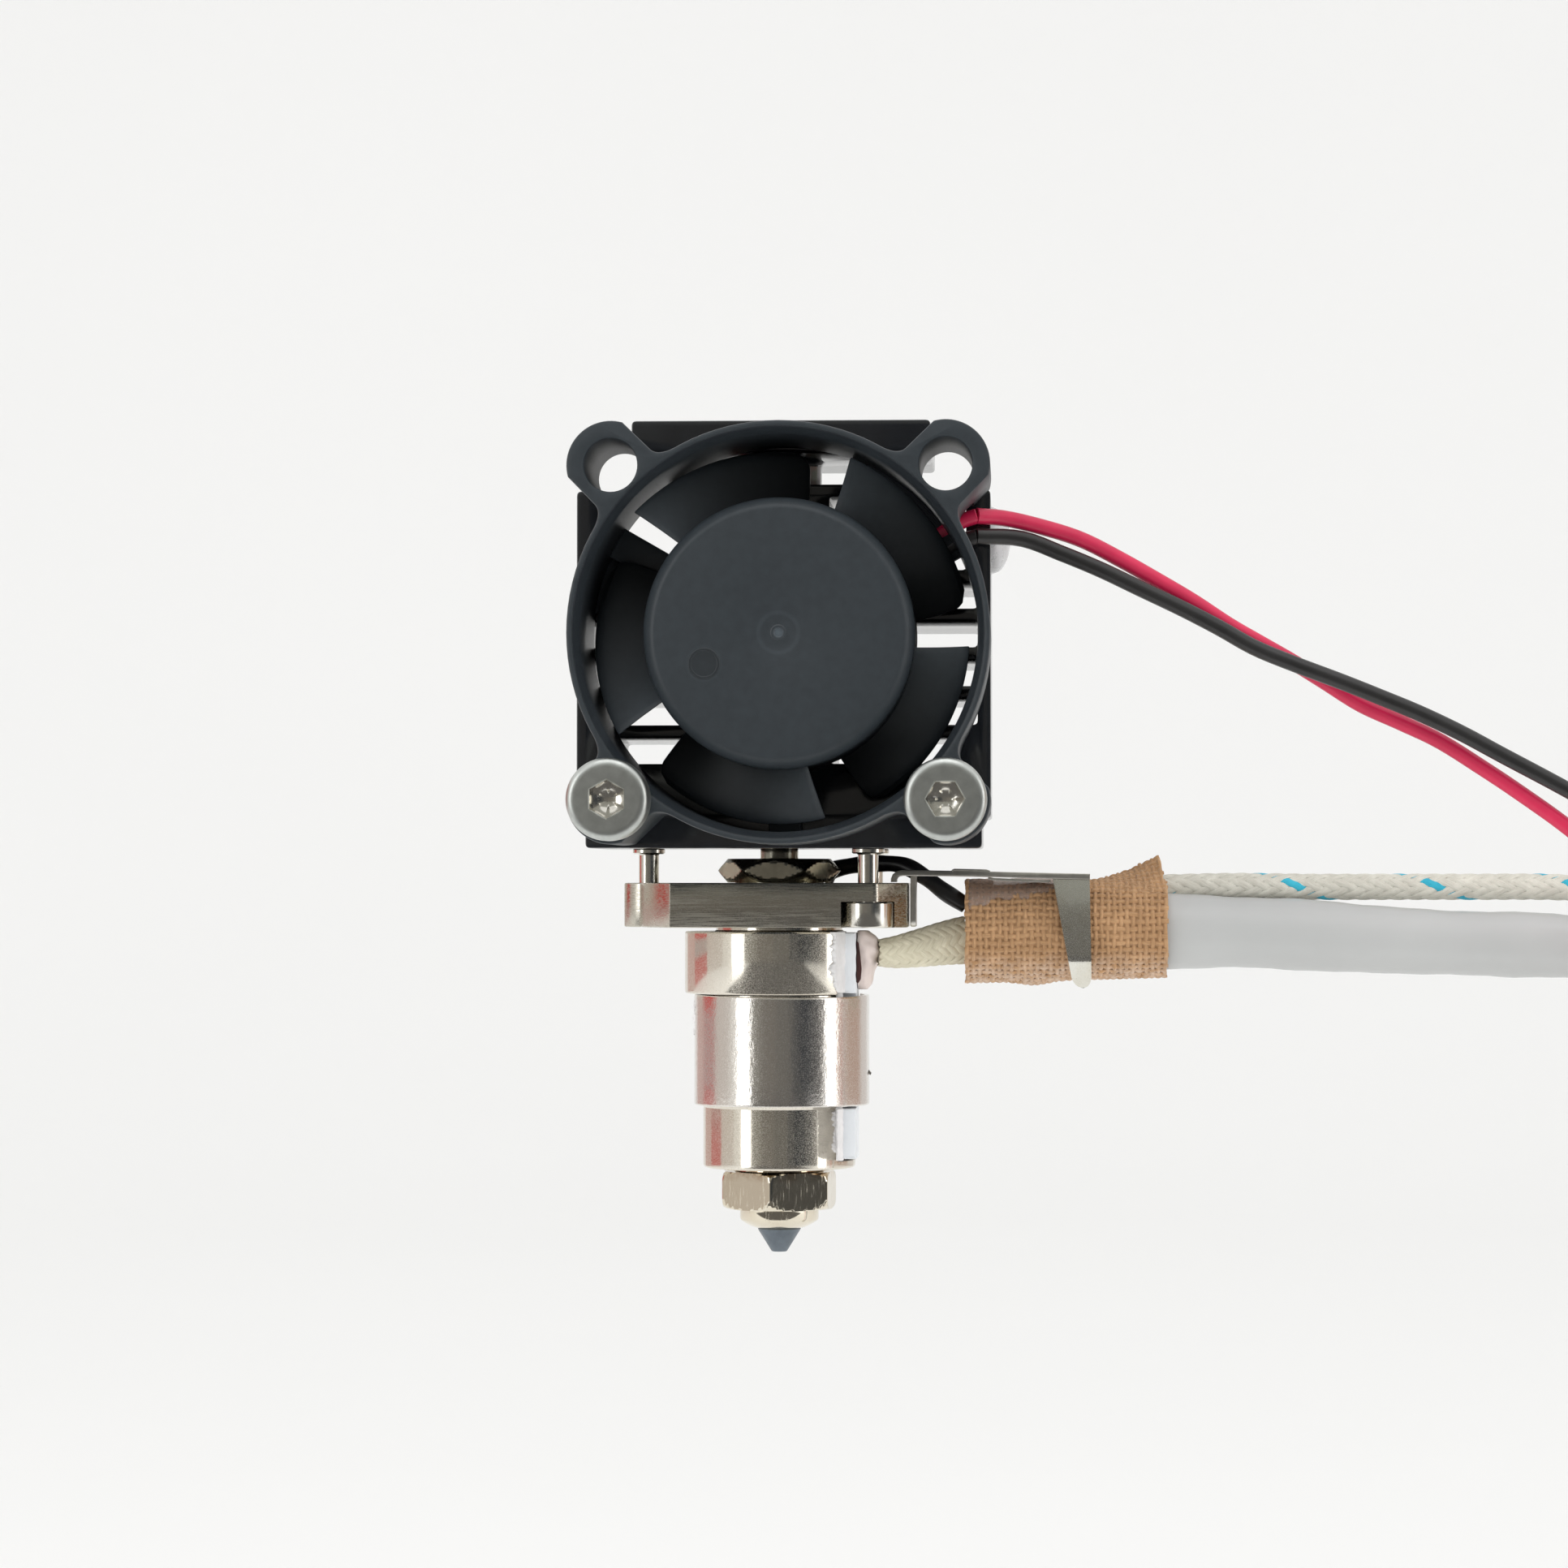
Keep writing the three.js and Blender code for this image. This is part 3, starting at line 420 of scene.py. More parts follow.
def shader(name, colour, rough, metal=0.0, spec=0.5):
    mat = bpy.data.materials.new(name)
    mat.use_nodes = True
    tree = mat.node_tree
    bsdf = tree.nodes["Principled BSDF"]
    bsdf.inputs["Base Color"].default_value = (*colour, 1)
    bsdf.inputs["Roughness"].default_value = rough
    bsdf.inputs["Metallic"].default_value = metal
    bsdf.inputs["Specular IOR Level"].default_value = spec
    return mat, tree, bsdf


def coords(tree, scale=(1, 1, 1), kind="Object"):
    tex = tree.nodes.new("ShaderNodeTexCoord")
    mapping = tree.nodes.new("ShaderNodeMapping")
    mapping.inputs["Scale"].default_value = scale
    tree.links.new(tex.outputs[kind], mapping.inputs["Vector"])
    return mapping.outputs["Vector"]


def noise_value(tree, vector, scale, detail=3.0, rough=0.55):
    tex = tree.nodes.new("ShaderNodeTexNoise")
    tex.inputs["Scale"].default_value = scale
    tex.inputs["Detail"].default_value = detail
    tex.inputs["Roughness"].default_value = rough
    tree.links.new(vector, tex.inputs["Vector"])
    return tex.outputs["Fac"]


def ramp(tree, value, stops):
    node = tree.nodes.new("ShaderNodeValToRGB")
    elements = node.color_ramp.elements
    while len(elements) < len(stops):
        elements.new(0.5)
    for element, (at, colour) in zip(elements, stops):
        element.position = at
        element.color = (*colour, 1) if isinstance(colour, (tuple, list)) else (colour, colour, colour, 1)
    tree.links.new(value, node.inputs["Fac"])
    return node.outputs["Color"]


def mix(tree, factor, a, b, kind="MIX"):
    node = tree.nodes.new("ShaderNodeMix")
    node.data_type = "RGBA"
    node.blend_type = kind
    for socket, value in ((node.inputs["Factor"], factor), (node.inputs["A"], a), (node.inputs["B"], b)):
        if isinstance(value, bpy.types.NodeSocket):
            tree.links.new(value, socket)
        elif isinstance(value, (int, float)):
            socket.default_value = value if socket.type == "VALUE" else (value, value, value, 1)
        else:
            socket.default_value = (*value, 1)
    return node.outputs["Result"]


def bump(tree, bsdf, value, strength, distance):
    node = tree.nodes.new("ShaderNodeBump")
    node.inputs["Strength"].default_value = strength
    node.inputs["Distance"].default_value = distance * MM
    if bsdf.inputs["Normal"].is_linked:
        tree.links.new(bsdf.inputs["Normal"].links[0].from_socket, node.inputs["Normal"])
    tree.links.new(value, node.inputs["Height"])
    tree.links.new(node.outputs["Normal"], bsdf.inputs["Normal"])


def grain(name, colour, rough, metal=0.0, spec=0.5, tint=0.12, size=0.4, bump_by=0.02, stretch=(1, 1, 1)):
    """A surface with slow mottling in colour and gloss and a fine grain in relief."""
    mat, tree, bsdf = shader(name, colour, rough, metal, spec)
    slow = noise_value(tree, coords(tree, stretch), 1 / (size * 6 * MM), 4)
    quick = noise_value(tree, coords(tree, stretch), 1 / (size * MM), 3)
    dark = tuple(c * (1 - tint) for c in colour)
    light = tuple(min(1, c * (1 + tint)) for c in colour)
    gloss = [(0.3, max(0, rough - GRAIN_GLOSS)), (0.7, min(1, rough + GRAIN_GLOSS))]
    tree.links.new(ramp(tree, slow, [(0.3, dark), (0.7, light)]), bsdf.inputs["Base Color"])
    tree.links.new(ramp(tree, quick, gloss), bsdf.inputs["Roughness"])
    bump(tree, bsdf, quick, 0.6, bump_by)
    return mat


def height_value(tree, low, high):
    """Nought below the low height, one above the high one, both in millimetres."""
    split = tree.nodes.new("ShaderNodeSeparateXYZ")
    tree.links.new(coords(tree, (1 / MM,) * 3), split.inputs["Vector"])
    node = tree.nodes.new("ShaderNodeMapRange")
    node.inputs["From Min"].default_value = low
    node.inputs["From Max"].default_value = high
    tree.links.new(split.outputs["Z"], node.inputs["Value"])
    return node.outputs["Result"]


def nickel(name, colour, rough, dull=0.25, relief=0.0012, stain=0.15, mottle=0.0, pits=0.08,
           lines=(1, 1, 0.2), edge=0.5, streaks=0.0):
    """Bright plate: a mirror with a fine matt grain, faint scratches, small pits and slow stains."""
    mat, tree, bsdf = shader(name, colour, rough, 1.0)
    fine = noise_value(tree, coords(tree), 26000, 2, 0.6)
    scratch = noise_value(tree, coords(tree, lines), 7000, 2, 0.7)
    cloud = noise_value(tree, coords(tree), 300, 5, 0.6)
    spots = noise_value(tree, coords(tree), 2600, 3, 0.7)
    stained = tuple(c * k for c, k in zip(colour, (0.80, 0.74, 0.64)))
    base = mix(tree, ramp(tree, cloud, [(0.48, 0.0), (0.75, stain)]), colour, stained)
    base = mix(tree, ramp(tree, spots, [(0.70, 0.0), (0.78, pits)]), base, tuple(c * 0.4 for c in colour))
    tree.links.new(base, bsdf.inputs["Base Color"])
    worn = mix(tree, streaks, fine, scratch)
    gloss = ramp(tree, worn, [(edge - 0.05, rough), (edge + 0.05, dull)])
    haze = ramp(tree, cloud, [(0.35, 0.0), (0.8, 0.05)])
    tree.links.new(mix(tree, 1.0, gloss, haze, "ADD"), bsdf.inputs["Roughness"])
    bump(tree, bsdf, scratch, 0.5, relief)
    if mottle:
        peel = noise_value(tree, coords(tree, (1, 1, 0.6)), 3600, 4, 0.65)
        bump(tree, bsdf, peel, 1.0, mottle)
    return mat


def threads_material(name, colour, dark, rough=0.85):
    """Yarn: fine filaments along each strand, with tufts of lighter and darker fibre."""
    mat, tree, bsdf = shader(name, colour, rough)
    strands = noise_value(tree, coords(tree, (9, 0.35, 1), "UV"), 3.0, 3, 0.6)
    patches = noise_value(tree, coords(tree), 900, 3, 0.6)
    base = mix(tree, ramp(tree, strands, [(0.35, 0.0), (0.65, 1.0)]), dark, colour)
    light = tuple(min(1, c * 1.15 + 0.02) for c in colour)
    base = mix(tree, ramp(tree, patches, [(0.45, 0.0), (0.7, 0.5)]), base, light)
    tree.links.new(base, bsdf.inputs["Base Color"])
    bump(tree, bsdf, strands, 0.7, 0.03)
    bsdf.inputs["Sheen Weight"].default_value = 0.2
    return mat


ANODISED = grain("anodised", (0.0095, 0.0112, 0.014), 0.13, spec=0.75, tint=0.15, size=0.16, bump_by=0.0012)
FAN_BLACK = dict(spec=0.40, tint=0.08, size=0.10, bump_by=0.004)
PLASTIC = grain("fan_plastic", (0.026, 0.033, 0.039), 0.46, **FAN_BLACK)
LINING = grain("fan_plastic_bore", (0.022, 0.027, 0.032), 0.36, spec=0.5, tint=0.08, size=0.12, bump_by=0.003)
NICKEL = nickel("nickel", (0.75, 0.71, 0.63), 0.055, dull=0.42, edge=0.555, mottle=0.0012, pits=0.2)
POLISHED = nickel("polished_nickel", (0.74, 0.68, 0.56), 0.06, dull=0.3, edge=0.61, stain=0.4,
                  lines=(1, 1, 0.1),
                  relief=0.003, pits=0.2, streaks=0.8)
SLEEVE = nickel("sleeve_metal", (0.77, 0.74, 0.70), 0.08, dull=0.32, edge=0.57, lines=(1, 1, 0.3),
                relief=0.003,
                mottle=0.014, pits=0.4)
GROUND = nickel("ground_plate", (0.54, 0.515, 0.45), 0.20, dull=0.42, edge=0.53, lines=(0.05, 0.5, 2.5),
                relief=0.006,
                stain=0.4, pits=0.25, streaks=0.75)
TAB = nickel("tab_steel", (0.74, 0.73, 0.67), 0.09, dull=0.34, edge=0.56, stain=0.6, mottle=0.0035, pits=0.5,
             lines=(1, 1, 0.5))
ARM_STEEL = grain("arm_steel", (0.66, 0.64, 0.59), 0.33, metal=1.0, tint=0.12, size=0.12, bump_by=0.002)
STEEL = grain("screw_steel", (0.50, 0.52, 0.50), 0.38, metal=1.0, tint=0.1, size=0.12, bump_by=0.004)
BRIGHT = nickel("bright_steel", (0.72, 0.70, 0.64), 0.08, dull=0.20, mottle=0.002)
DARK_STEEL = grain("dark_steel", (0.46, 0.44, 0.36), 0.18, metal=1.0, tint=0.25, size=0.3, bump_by=0.003)
TIP_STEEL = grain("tip_steel", (0.15, 0.175, 0.20), 0.38, metal=0.9, tint=0.15, size=0.15, bump_by=0.006)
COPPER = grain("copper_wire", (0.62, 0.26, 0.12), 0.35, metal=1.0, tint=0.15, size=0.2, stretch=(1, 6, 1))
BRONZE = grain("bronze", (0.45, 0.30, 0.14), 0.5, metal=1.0, tint=0.2, size=0.15)
FERRITE = grain("ferrite", (0.03, 0.027, 0.025), 0.7, tint=0.2, size=0.15)
BOARD = grain("board", (0.02, 0.10, 0.04), 0.35, tint=0.2, size=0.5)
PTFE = grain("ptfe", (0.86, 0.86, 0.84), 0.4, tint=0.03, size=0.8, bump_by=0.006)
CERAMIC = grain("ceramic", (0.80, 0.83, 0.86), 0.5, tint=0.06, size=0.7, bump_by=0.004)
CEMENT = grain("cement", (0.78, 0.77, 0.77), 0.75, tint=0.10, size=0.18, bump_by=0.03)
POTTING = grain("potting", (0.74, 0.64, 0.60), 0.50, tint=0.12, size=0.3, bump_by=0.02)
MAROON = grain("crack_maroon", (0.05, 0.012, 0.010), 0.7, tint=0.3, size=0.2)
JACKET = grain("jacket", (0.485, 0.495, 0.49), 0.36, tint=0.04, size=1.5, bump_by=0.01)
RED_WIRE = grain("red_wire", (0.60, 0.016, 0.075), 0.32, tint=0.1, size=0.5, bump_by=0.006)
BLACK_WIRE = grain("black_wire", (0.020, 0.019, 0.019), 0.34, tint=0.2, size=0.5, bump_by=0.006)
BLACK_SLEEVE = grain("black_sleeve", (0.012, 0.012, 0.014), 0.35, tint=0.3, size=0.4, bump_by=0.02)
HOUSING = grain("housing", (0.72, 0.70, 0.62), 0.42, tint=0.05, size=0.6, bump_by=0.006)
TERMINAL = grain("terminal", (0.70, 0.68, 0.60), 0.25, metal=1.0, tint=0.1, size=0.3)
CREAM = threads_material("cream_yarn", (0.80, 0.76, 0.60), (0.58, 0.53, 0.38))
PALE = threads_material("pale_yarn", (0.72, 0.71, 0.63), (0.52, 0.50, 0.43))
CYAN = threads_material("cyan_yarn", (0.04, 0.50, 0.66), (0.02, 0.36, 0.52))
CLOTH = threads_material("brown_yarn", (0.60, 0.36, 0.18), (0.30, 0.155, 0.065))


def clear_material(name, colour, rough, weight):
    """A translucent set liquid, uneven in gloss and relief."""
    mat, tree, bsdf = shader(name, colour, rough)
    bsdf.inputs["Transmission Weight"].default_value = weight
    bsdf.inputs["IOR"].default_value = 1.46
    cloud = noise_value(tree, coords(tree), 900, 4)
    gloss = [(0.35, max(0.02, rough - 0.1)), (0.7, rough + 0.15)]
    tree.links.new(ramp(tree, cloud, gloss), bsdf.inputs["Roughness"])
    bump(tree, bsdf, cloud, 0.5, 0.05)
    return mat


def stepped(tree, kind, operation, source, value=None):
    """One maths node, for numbers or vectors, fed by source and a constant."""
    node = tree.nodes.new("ShaderNode" + kind)
    node.operation = operation
    if value is not None:
        node.inputs[1].default_value = value
    tree.links.new(source, node.inputs[0])
    return node.outputs["Value" if kind == "Math" or operation == "LENGTH" else "Vector"]


def rotor_plastic():
    """Matt charcoal with painted shade that darkens it towards the back, with a pale centre dot, a faint ring
    and a round mark.
    """
    mat = grain("rotor_plastic", (0.026, 0.033, 0.039), 0.46, **FAN_BLACK)
    tree = mat.node_tree
    bsdf = tree.nodes["Principled BSDF"]
    base = bsdf.inputs["Base Color"].links[0].from_socket
    # painted shade: the colour is darkened the deeper a surface lies behind the fan's front face, standing in
    # for the shade among the blades
    split = tree.nodes.new("ShaderNodeSeparateXYZ")
    tree.links.new(coords(tree, (1 / (10 * MM),) * 3), split.inputs["Vector"])
    deep = stepped(tree, "Math", "ADD", split.outputs["Y"], 2.5)
    painted_depth_shade = ramp(tree, deep, [(0.22, 1.0), (0.46, 0.62), (0.72, 0.30)])
    base = mix(tree, 1.0, base, painted_depth_shade, "MULTIPLY")
    brightest, reach = 3.0, 3 * MM
    for x, z, stops in (
        (FAN_X, 0.0, [(0.0, 2.6), (0.07, 2.2), (0.12, 1.0), (0.34, 1.0), (0.38, 1.22), (0.42, 1.22),
                      (0.46, 1.0)]),
        (*MARK, [(0.0, 0.80), (0.26, 0.72), (0.30, 0.66), (0.34, 1.15), (0.38, 1.0)]),
    ):
        place = tree.nodes.new("ShaderNodeTexCoord").outputs["Object"]
        away = stepped(tree, "VectorMath", "SUBTRACT", place, (x * MM, 0, z * MM))
        flat = stepped(tree, "VectorMath", "MULTIPLY", away, (1 / reach, 0, 1 / reach))
        far = stepped(tree, "VectorMath", "LENGTH", flat)
        ring = ramp(tree, far, [(at, level / brightest) for at, level in stops])
        base = mix(tree, 1.0, mix(tree, 1.0, base, brightest, "MULTIPLY"), ring, "MULTIPLY")
    tree.links.new(base, bsdf.inputs["Base Color"])
    return mat


ROTOR = rotor_plastic()


def tint_by_height(mat, low, high, colour, share, patch):
    """Lay a second colour over a material below or above a height, broken up in patches."""
    tree = mat.node_tree
    base = tree.nodes["Principled BSDF"].inputs["Base Color"]
    where = height_value(tree, low, high)
    patches = ramp(tree, noise_value(tree, coords(tree), patch, 4, 0.65), [(0.35, 0.0), (0.65, share)])
    broken = mix(tree, 1.0, where, patches, "MULTIPLY")
    tree.links.new(mix(tree, broken, base.links[0].from_socket, colour), base)


tint_by_height(CLOTH, -19.2, -20.6, (0.80, 0.66, 0.55), 0.55, 1500)
tint_by_height(POLISHED, -33.75, -33.2, (0.36, 0.22, 0.10), 0.9, 900)
GLUE = clear_material("glue", (0.86, 0.87, 0.88), 0.22, 0.35)
RESIN = clear_material("resin", (0.80, 0.64, 0.54), 0.12, 0.72)

for node_name, mat in {
    "rotor_yoke": BRIGHT, "rotor_magnet": FERRITE, "fan_shaft": BRIGHT, "fan_bearing": BRONZE,
    "stator_core": STEEL, "stator_coil_1": COPPER, "stator_coil_2": COPPER, "stator_coil_3": COPPER,
    "stator_coil_4": COPPER, "fan_circuit_board": BOARD, "thermistor": BRIGHT,
}.items():
    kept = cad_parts[node_name]
    kept.data.materials.clear()
    kept.data.materials.append(mat)


# ------------------------------------------------------------------ the four cords
JACKET_ROUTE = [(x, -7.5, z) for x, z in (
    (23.3, -18.0), (28, -18.05), (32, -18.2), (36, -18.45), (40, -18.65), (44.5, -18.8), (49, -18.95),
    (53.5, -19.6), (58, -21.6), (62, -24.9), (65, -29.3), (66.8, -34.6), (67.5, -40.5), (67.6, -47),
    (67.6, -54), (67.5, -61), (67.4, -68), (67.3, -75), (67.3, -82),
)]
BRAID_ROUTE = [
    (23.3, -6.5, -15.25), (28, -6.3, -15.15), (33, -6.1, -15.2), (38, -6.1, -15.2), (43, -6.2, -15.2),
    (49, -6.3, -15.25), (54, -6.4, -15.8), (59, -6.4, -17.6), (63.5, -6.4, -20.8), (67, -6.4, -25),
    (69.5, -6.4, -30.2), (70.9, -6.4, -36), (71.7, -6.5, -42), (72.4, -6.8, -50), (73.1, -7.2, -58),
    (73.5, -7.5, -65), (73.6, -7.5, -71),
]
RED_ROUTE = [
    (11.9, -16.5, 7.55), (13.7, -15.7, 7.45), (16, -15.1, 6.95), (18.4, -14.7, 6.2), (20.8, -14.3, 5.0),
    (23.1, -14.1, 3.7), (25.3, -13.9, 2.4), (27.5, -13.7, 0.95), (29.4, -13.6, -0.15), (31.4, -13.5, -1.3),
    (33.4, -13.4, -2.55), (35.6, -13.4, -3.95), (38, -13.4, -5.05), (40.4, -13.4, -6.2), (43, -13.4, -7.85),
    (45.3, -13.4, -9.4), (48.2, -13.4, -11.5), (51, -13.4, -13.9), (53.6, -13.4, -16.9), (55.6, -13.4, -20.6),
    (56.8, -13.4, -25), (57.3, -13.4, -30), (57.4, -13.4, -36), (57.4, -13.4, -43), (57.4, -13.4, -50),
    (57.4, -13.4, -58), (57.4, -13.4, -66),
]
BLACK_ROUTE = [
    (11.9, -16.5, 6.3), (14.7, -15.7, 6.2), (17.2, -15.3, 5.3), (19.6, -15.15, 4.3), (22, -15.0, 3.15),
    (24.5, -14.95, 1.95), (26.8, -14.9, 0.75), (29, -14.9, -0.5), (31.4, -14.9, -1.5), (34.3, -14.9, -2.6),
    (36.8, -14.8, -3.6), (39.2, -14.7, -4.6), (41.7, -14.6, -5.8), (44.1, -14.5, -7.1), (48.2, -14.3, -9.3),
    (51.6, -14.1, -11.3), (55, -13.9, -13.9), (57.8, -13.7, -17.4), (59.5, -13.5, -21.8), (60.1, -13.4, -27),
    (60, -13.4, -33), (59.9, -13.4, -40), (59.9, -13.4, -49), (59.9, -13.4, -58), (59.9, -13.4, -66),
]


def connector(name, x, y, top, wide, deep, tall, replaces):
    """A two-way crimp housing: ribbed shell, latch windows and the terminals inside."""
    x0, x1, y0, y1, low = x - wide / 2, x + wide / 2, y - deep / 2, y + deep / 2, top - tall
    ways = (x - wide / 4, x + wide / 4)
    mouths = [oblong(cx - 0.75, cx + 0.75, y - 0.85, y + 0.85) for cx in ways]
    parts = [
        plate(name + "_shell", rounded(oblong(x0, x1, y0, y1), 0.3), mouths, "z", low, top, 0.12),
        plate(name + "_lip", oblong(x0, x1, y0 - 0.2, y0 + 0.2), [], "z", top - tall * 0.18, top - 0.05,
              0.08),
    ]
    for cx in (x - wide * 0.36, x + wide * 0.36):
        rib = oblong(cx - 0.28, cx + 0.28, y0 - 0.45, y0 + 0.2)
        parts.append(plate(name + "_rib", rib, [], "z", low + 0.05, top - tall * 0.30, 0.08))
    for cx in ways:
        latch = oblong(cx - 0.55, cx + 0.55, top - tall * 0.55, top - tall * 0.30)
        parts.append(plate(name + "_latch", rounded(latch, 0.15), [], "y", y1 - 0.1, y1 + 0.12, 0.05))
    obj = dress(joined(name, parts), HOUSING, replaces)
    terminals = []
    for cx in ways:
        outline, bore = (oblong(cx - a, cx + a, y - b, y + b) for a, b in ((0.6, 0.65), (0.42, 0.47)))
        terminals.append(plate(name + "_pin", outline, [bore], "z", low + 0.7, top - 1.2, 0.04))
    pins = dress(joined(name + "_terminals", terminals), TERMINAL)
    pins.parent = obj
    pins.matrix_parent_inverse = obj.matrix_world.inverted()
    return obj


FAN_PLUG = connector("fan_plug", 58.65, -13.4, -66.3, 7.3, 5.7, 9.7, "fan_connector")
HEATER_PLUG = connector("heater_plug", 67.3, -7.5, -82.3, 8.1, 6.1, 10.9, "heater_connector")
SENSOR_PLUG = connector("sensor_plug", 73.6, -7.5, -71.3, 5.7, 4.5, 7.7, "thermistor_connector")


def declare_cord(route, step):
    path = sampled(route, step)


for label, route, mat in (("red", RED_ROUTE, RED_WIRE), ("black", BLACK_ROUTE, BLACK_WIRE)):
    lead = tube(label + "_lead", sampled(route, 0.6), 0.5, 16, 0.05)
    dress(lead, mat, "fan_wire_" + label)
    declare_cord(route, 0.6)


def jacket_size(s):
    base = 2.36 - 0.36 * min(1, s / 21) + 0.03 * math.sin(s * 0.9) + 0.02 * math.sin(s * 2.3 + 1)
    return base, base + 0.04 * math.sin(s * 0.55 + 2)


jacket = tube("heater_jacket", sampled(JACKET_ROUTE, 0.8), jacket_size, 40, 0.1)
dress(jacket, JACKET, "heater_cable")
declare_cord(JACKET_ROUTE, 0.8)

braid_core = tube("braid_core", sampled(BRAID_ROUTE, 0.6), 0.70, 14, 0.05)
braid_yarn = braid("braid_yarn", sampled(BRAID_ROUTE, 0.16), lambda s: (0.81, 0.81), 8, 8.8, 0.50, 0.09,
                   0.035,
                   tracer=(-1, 7), turn=math.pi / 4)
sensor_cable = joined("sensor_cable", [braid_core, braid_yarn])
sensor_cable.data.materials.append(PALE)
sensor_cable.data.materials.append(CYAN)
dress(sensor_cable, PALE, "thermistor_cable", angle=60)
declare_cord(BRAID_ROUTE, 0.6)


# ------------------------------------------------------------------ heatsink
def cutter(name, rods):
    """Round cutters as one mesh: (axis, a, b, low, high, radius, sides)."""
    return joined(name, [polar(name + "_rod", [(0, low), (radius, low), (radius, high), (0, high)], (a, b),
                               axis, sides)
                         for axis, a, b, low, high, radius, sides in rods])


def subtract(obj, tool):
    mod = obj.modifiers.new("cut", "BOOLEAN")
    mod.operation = "DIFFERENCE"
    mod.solver = "EXACT"
    mod.use_self = True
    mod.object = tool
    bpy.context.view_layer.update()
    mesh = bpy.data.meshes.new_from_object(obj.evaluated_get(bpy.context.evaluated_depsgraph_get()))
    obj.modifiers.clear()
    obj.data = mesh
    bpy.data.objects.remove(tool)
    return obj


def heatsink():
    x0, x1, y0, y1, z0, z1 = SINK
    w, foot, foot_top, wall_top, under, top_left, top_right = WINDOW_HALF, 12.25, -10.9, 9.3, 11.7, -9.4, 9.1
    lower = [
        (-foot, z0, 0.3), (foot, z0, 0.3), (foot, foot_top, 0.15), (x1, foot_top, 0.25), (x1, wall_top, 0.3),
        (w, wall_top, 0.3), (w, FIN_TOP, 0.25), (WEB[1], FIN_TOP, 0.25), (WEB[1], SHELF_UNDER, 0.25),
        (SHELF_HALF, SHELF_UNDER, 0.2), (SHELF_HALF, SHELF_TOP, 0.2), (-SHELF_HALF, SHELF_TOP, 0.2),
        (-SHELF_HALF, SHELF_UNDER, 0.2), (WEB[0], SHELF_UNDER, 0.25), (WEB[0], FIN_TOP, 0.25),
        (-w, FIN_TOP, 0.25), (-w, wall_top, 0.3), (x0, wall_top, 0.3), (x0, foot_top, 0.25),
        (-foot, foot_top, 0.15),
    ]
    holes = []
    for k in range(5):
        high = FIN_TOP - FIN_PITCH * k - FIN_THICK
        low = FIN_TOP - FIN_PITCH * (k + 1)
        half = 10.9 if k == 4 else 12.0
        for a, b in ((-half, WEB[0]), (WEB[1], half)):
            holes.append(rounded(oblong(a, b, low, high), 0.28, 3))
    body = plate("heatsink_body", rounded(lower, 0.25), holes, "y", y0, y1, 0.09)
    rods = [("z", *AXIS, -20, -3.2, 2.33, 40)]
    rods += [("z", *post, -20, -9.2, 0.86, 24) for post in (STUD, FRONT_POST, REAR_POST)]
    rods += [("y", side * 9, -10.2, -4, 3, 1.25, 32) for side in (-1, 1)]
    body = subtract(body, cutter("heatsink_holes", rods))
    liner = [("z", *AXIS, -3.0, 12, 1.58, 40), ("y", AXIS[0], -10.0, -5.0, 3, 1.28, 32)]
    body = subtract(body, cutter("heatsink_liner_hole", liner))
    top = plate("heatsink_top", rounded(oblong(top_left, top_right, under, z1), 0.3), [], "y", y0, y1, 0.09)
    top = subtract(top, cutter("heatsink_top_hole", [("z", *AXIS, 5, 20, 1.58, 40)]))
    neck = polar("heatsink_neck", [
        (1.58, SHELF_TOP - 0.1), (3.0, SHELF_TOP - 0.05), (2.78, SHELF_TOP + 0.18), (2.7, SHELF_TOP + 0.4),
        (2.7, under - 0.4), (2.78, under - 0.18), (3.0, under + 0.05), (1.58, under + 0.1),
    ], AXIS, "z", 64, closed=True)
    return joined("heatsink_detail", [body, top, neck])


dress(heatsink(), ANODISED, "heatsink", angle=28)


def blob(name, centre, radii, axis_out, seed, rough, rings=28, segs=48):
    """A dome-like drop with an uneven surface, standing on its base plane."""
    out = Vector(axis_out).normalized()
    side = out.orthogonal().normalized()
    up = out.cross(side)
    verts = []
    for i in range(rings + 1):
        lift = math.pi / 2 * i / rings
        for k in range(segs):
            a = 2 * math.pi * k / segs
            r = math.cos(lift) * (1 + 2 * rough * wander(math.cos(a) * 1.3 + seed, math.sin(a) * 1.3,
                                                         lift * 2))
            verts.append(Vector(centre) + side * (radii[0] * r * math.cos(a)) + up * (radii[1] * r * math.sin(a))
                         + out * (radii[2] * math.sin(lift)))
    faces = hoop_faces(rings + 1, segs)
    faces.append(tuple(range(segs)))
    return recalc(new_object(name, verts, faces), 0.002)


glue = blob("glue_drop", (12.8, -9.0, 6.6), (2.1, 2.1, 1.22), (1, 0, 0), 3, 0.03)
dress(glue, GLUE, "glue_dab")


# ------------------------------------------------------------------ fan
def frame_outline():
    points = []
    for quarter in range(4):
        mid = 45 + 90 * quarter
        c, s = math.cos(math.radians(mid)), math.sin(math.radians(mid))
        flare = []
        for k in range(9):
            t = k / 8
            flare.append((13.1 * (1 - t) ** 2 + 12.40 * 2 * t * (1 - t) + 12.06 * t * t,
                          2.34 * (1 - t) ** 2 + 2.40 * 2 * t * (1 - t) + 3.80 * t * t))
        lug = [(d, -w) for d, w in reversed(flare)] + arc(14.142, 0, 2.65, -60.5, 60.5, 26) + flare
        points += [(FAN_X + d * c - w * s, d * s + w * c) for d, w in lug]
        points += arc(FAN_X, 0, 12.65, mid + 17.5, mid + 72.5, 16)[1:-1]
    return points


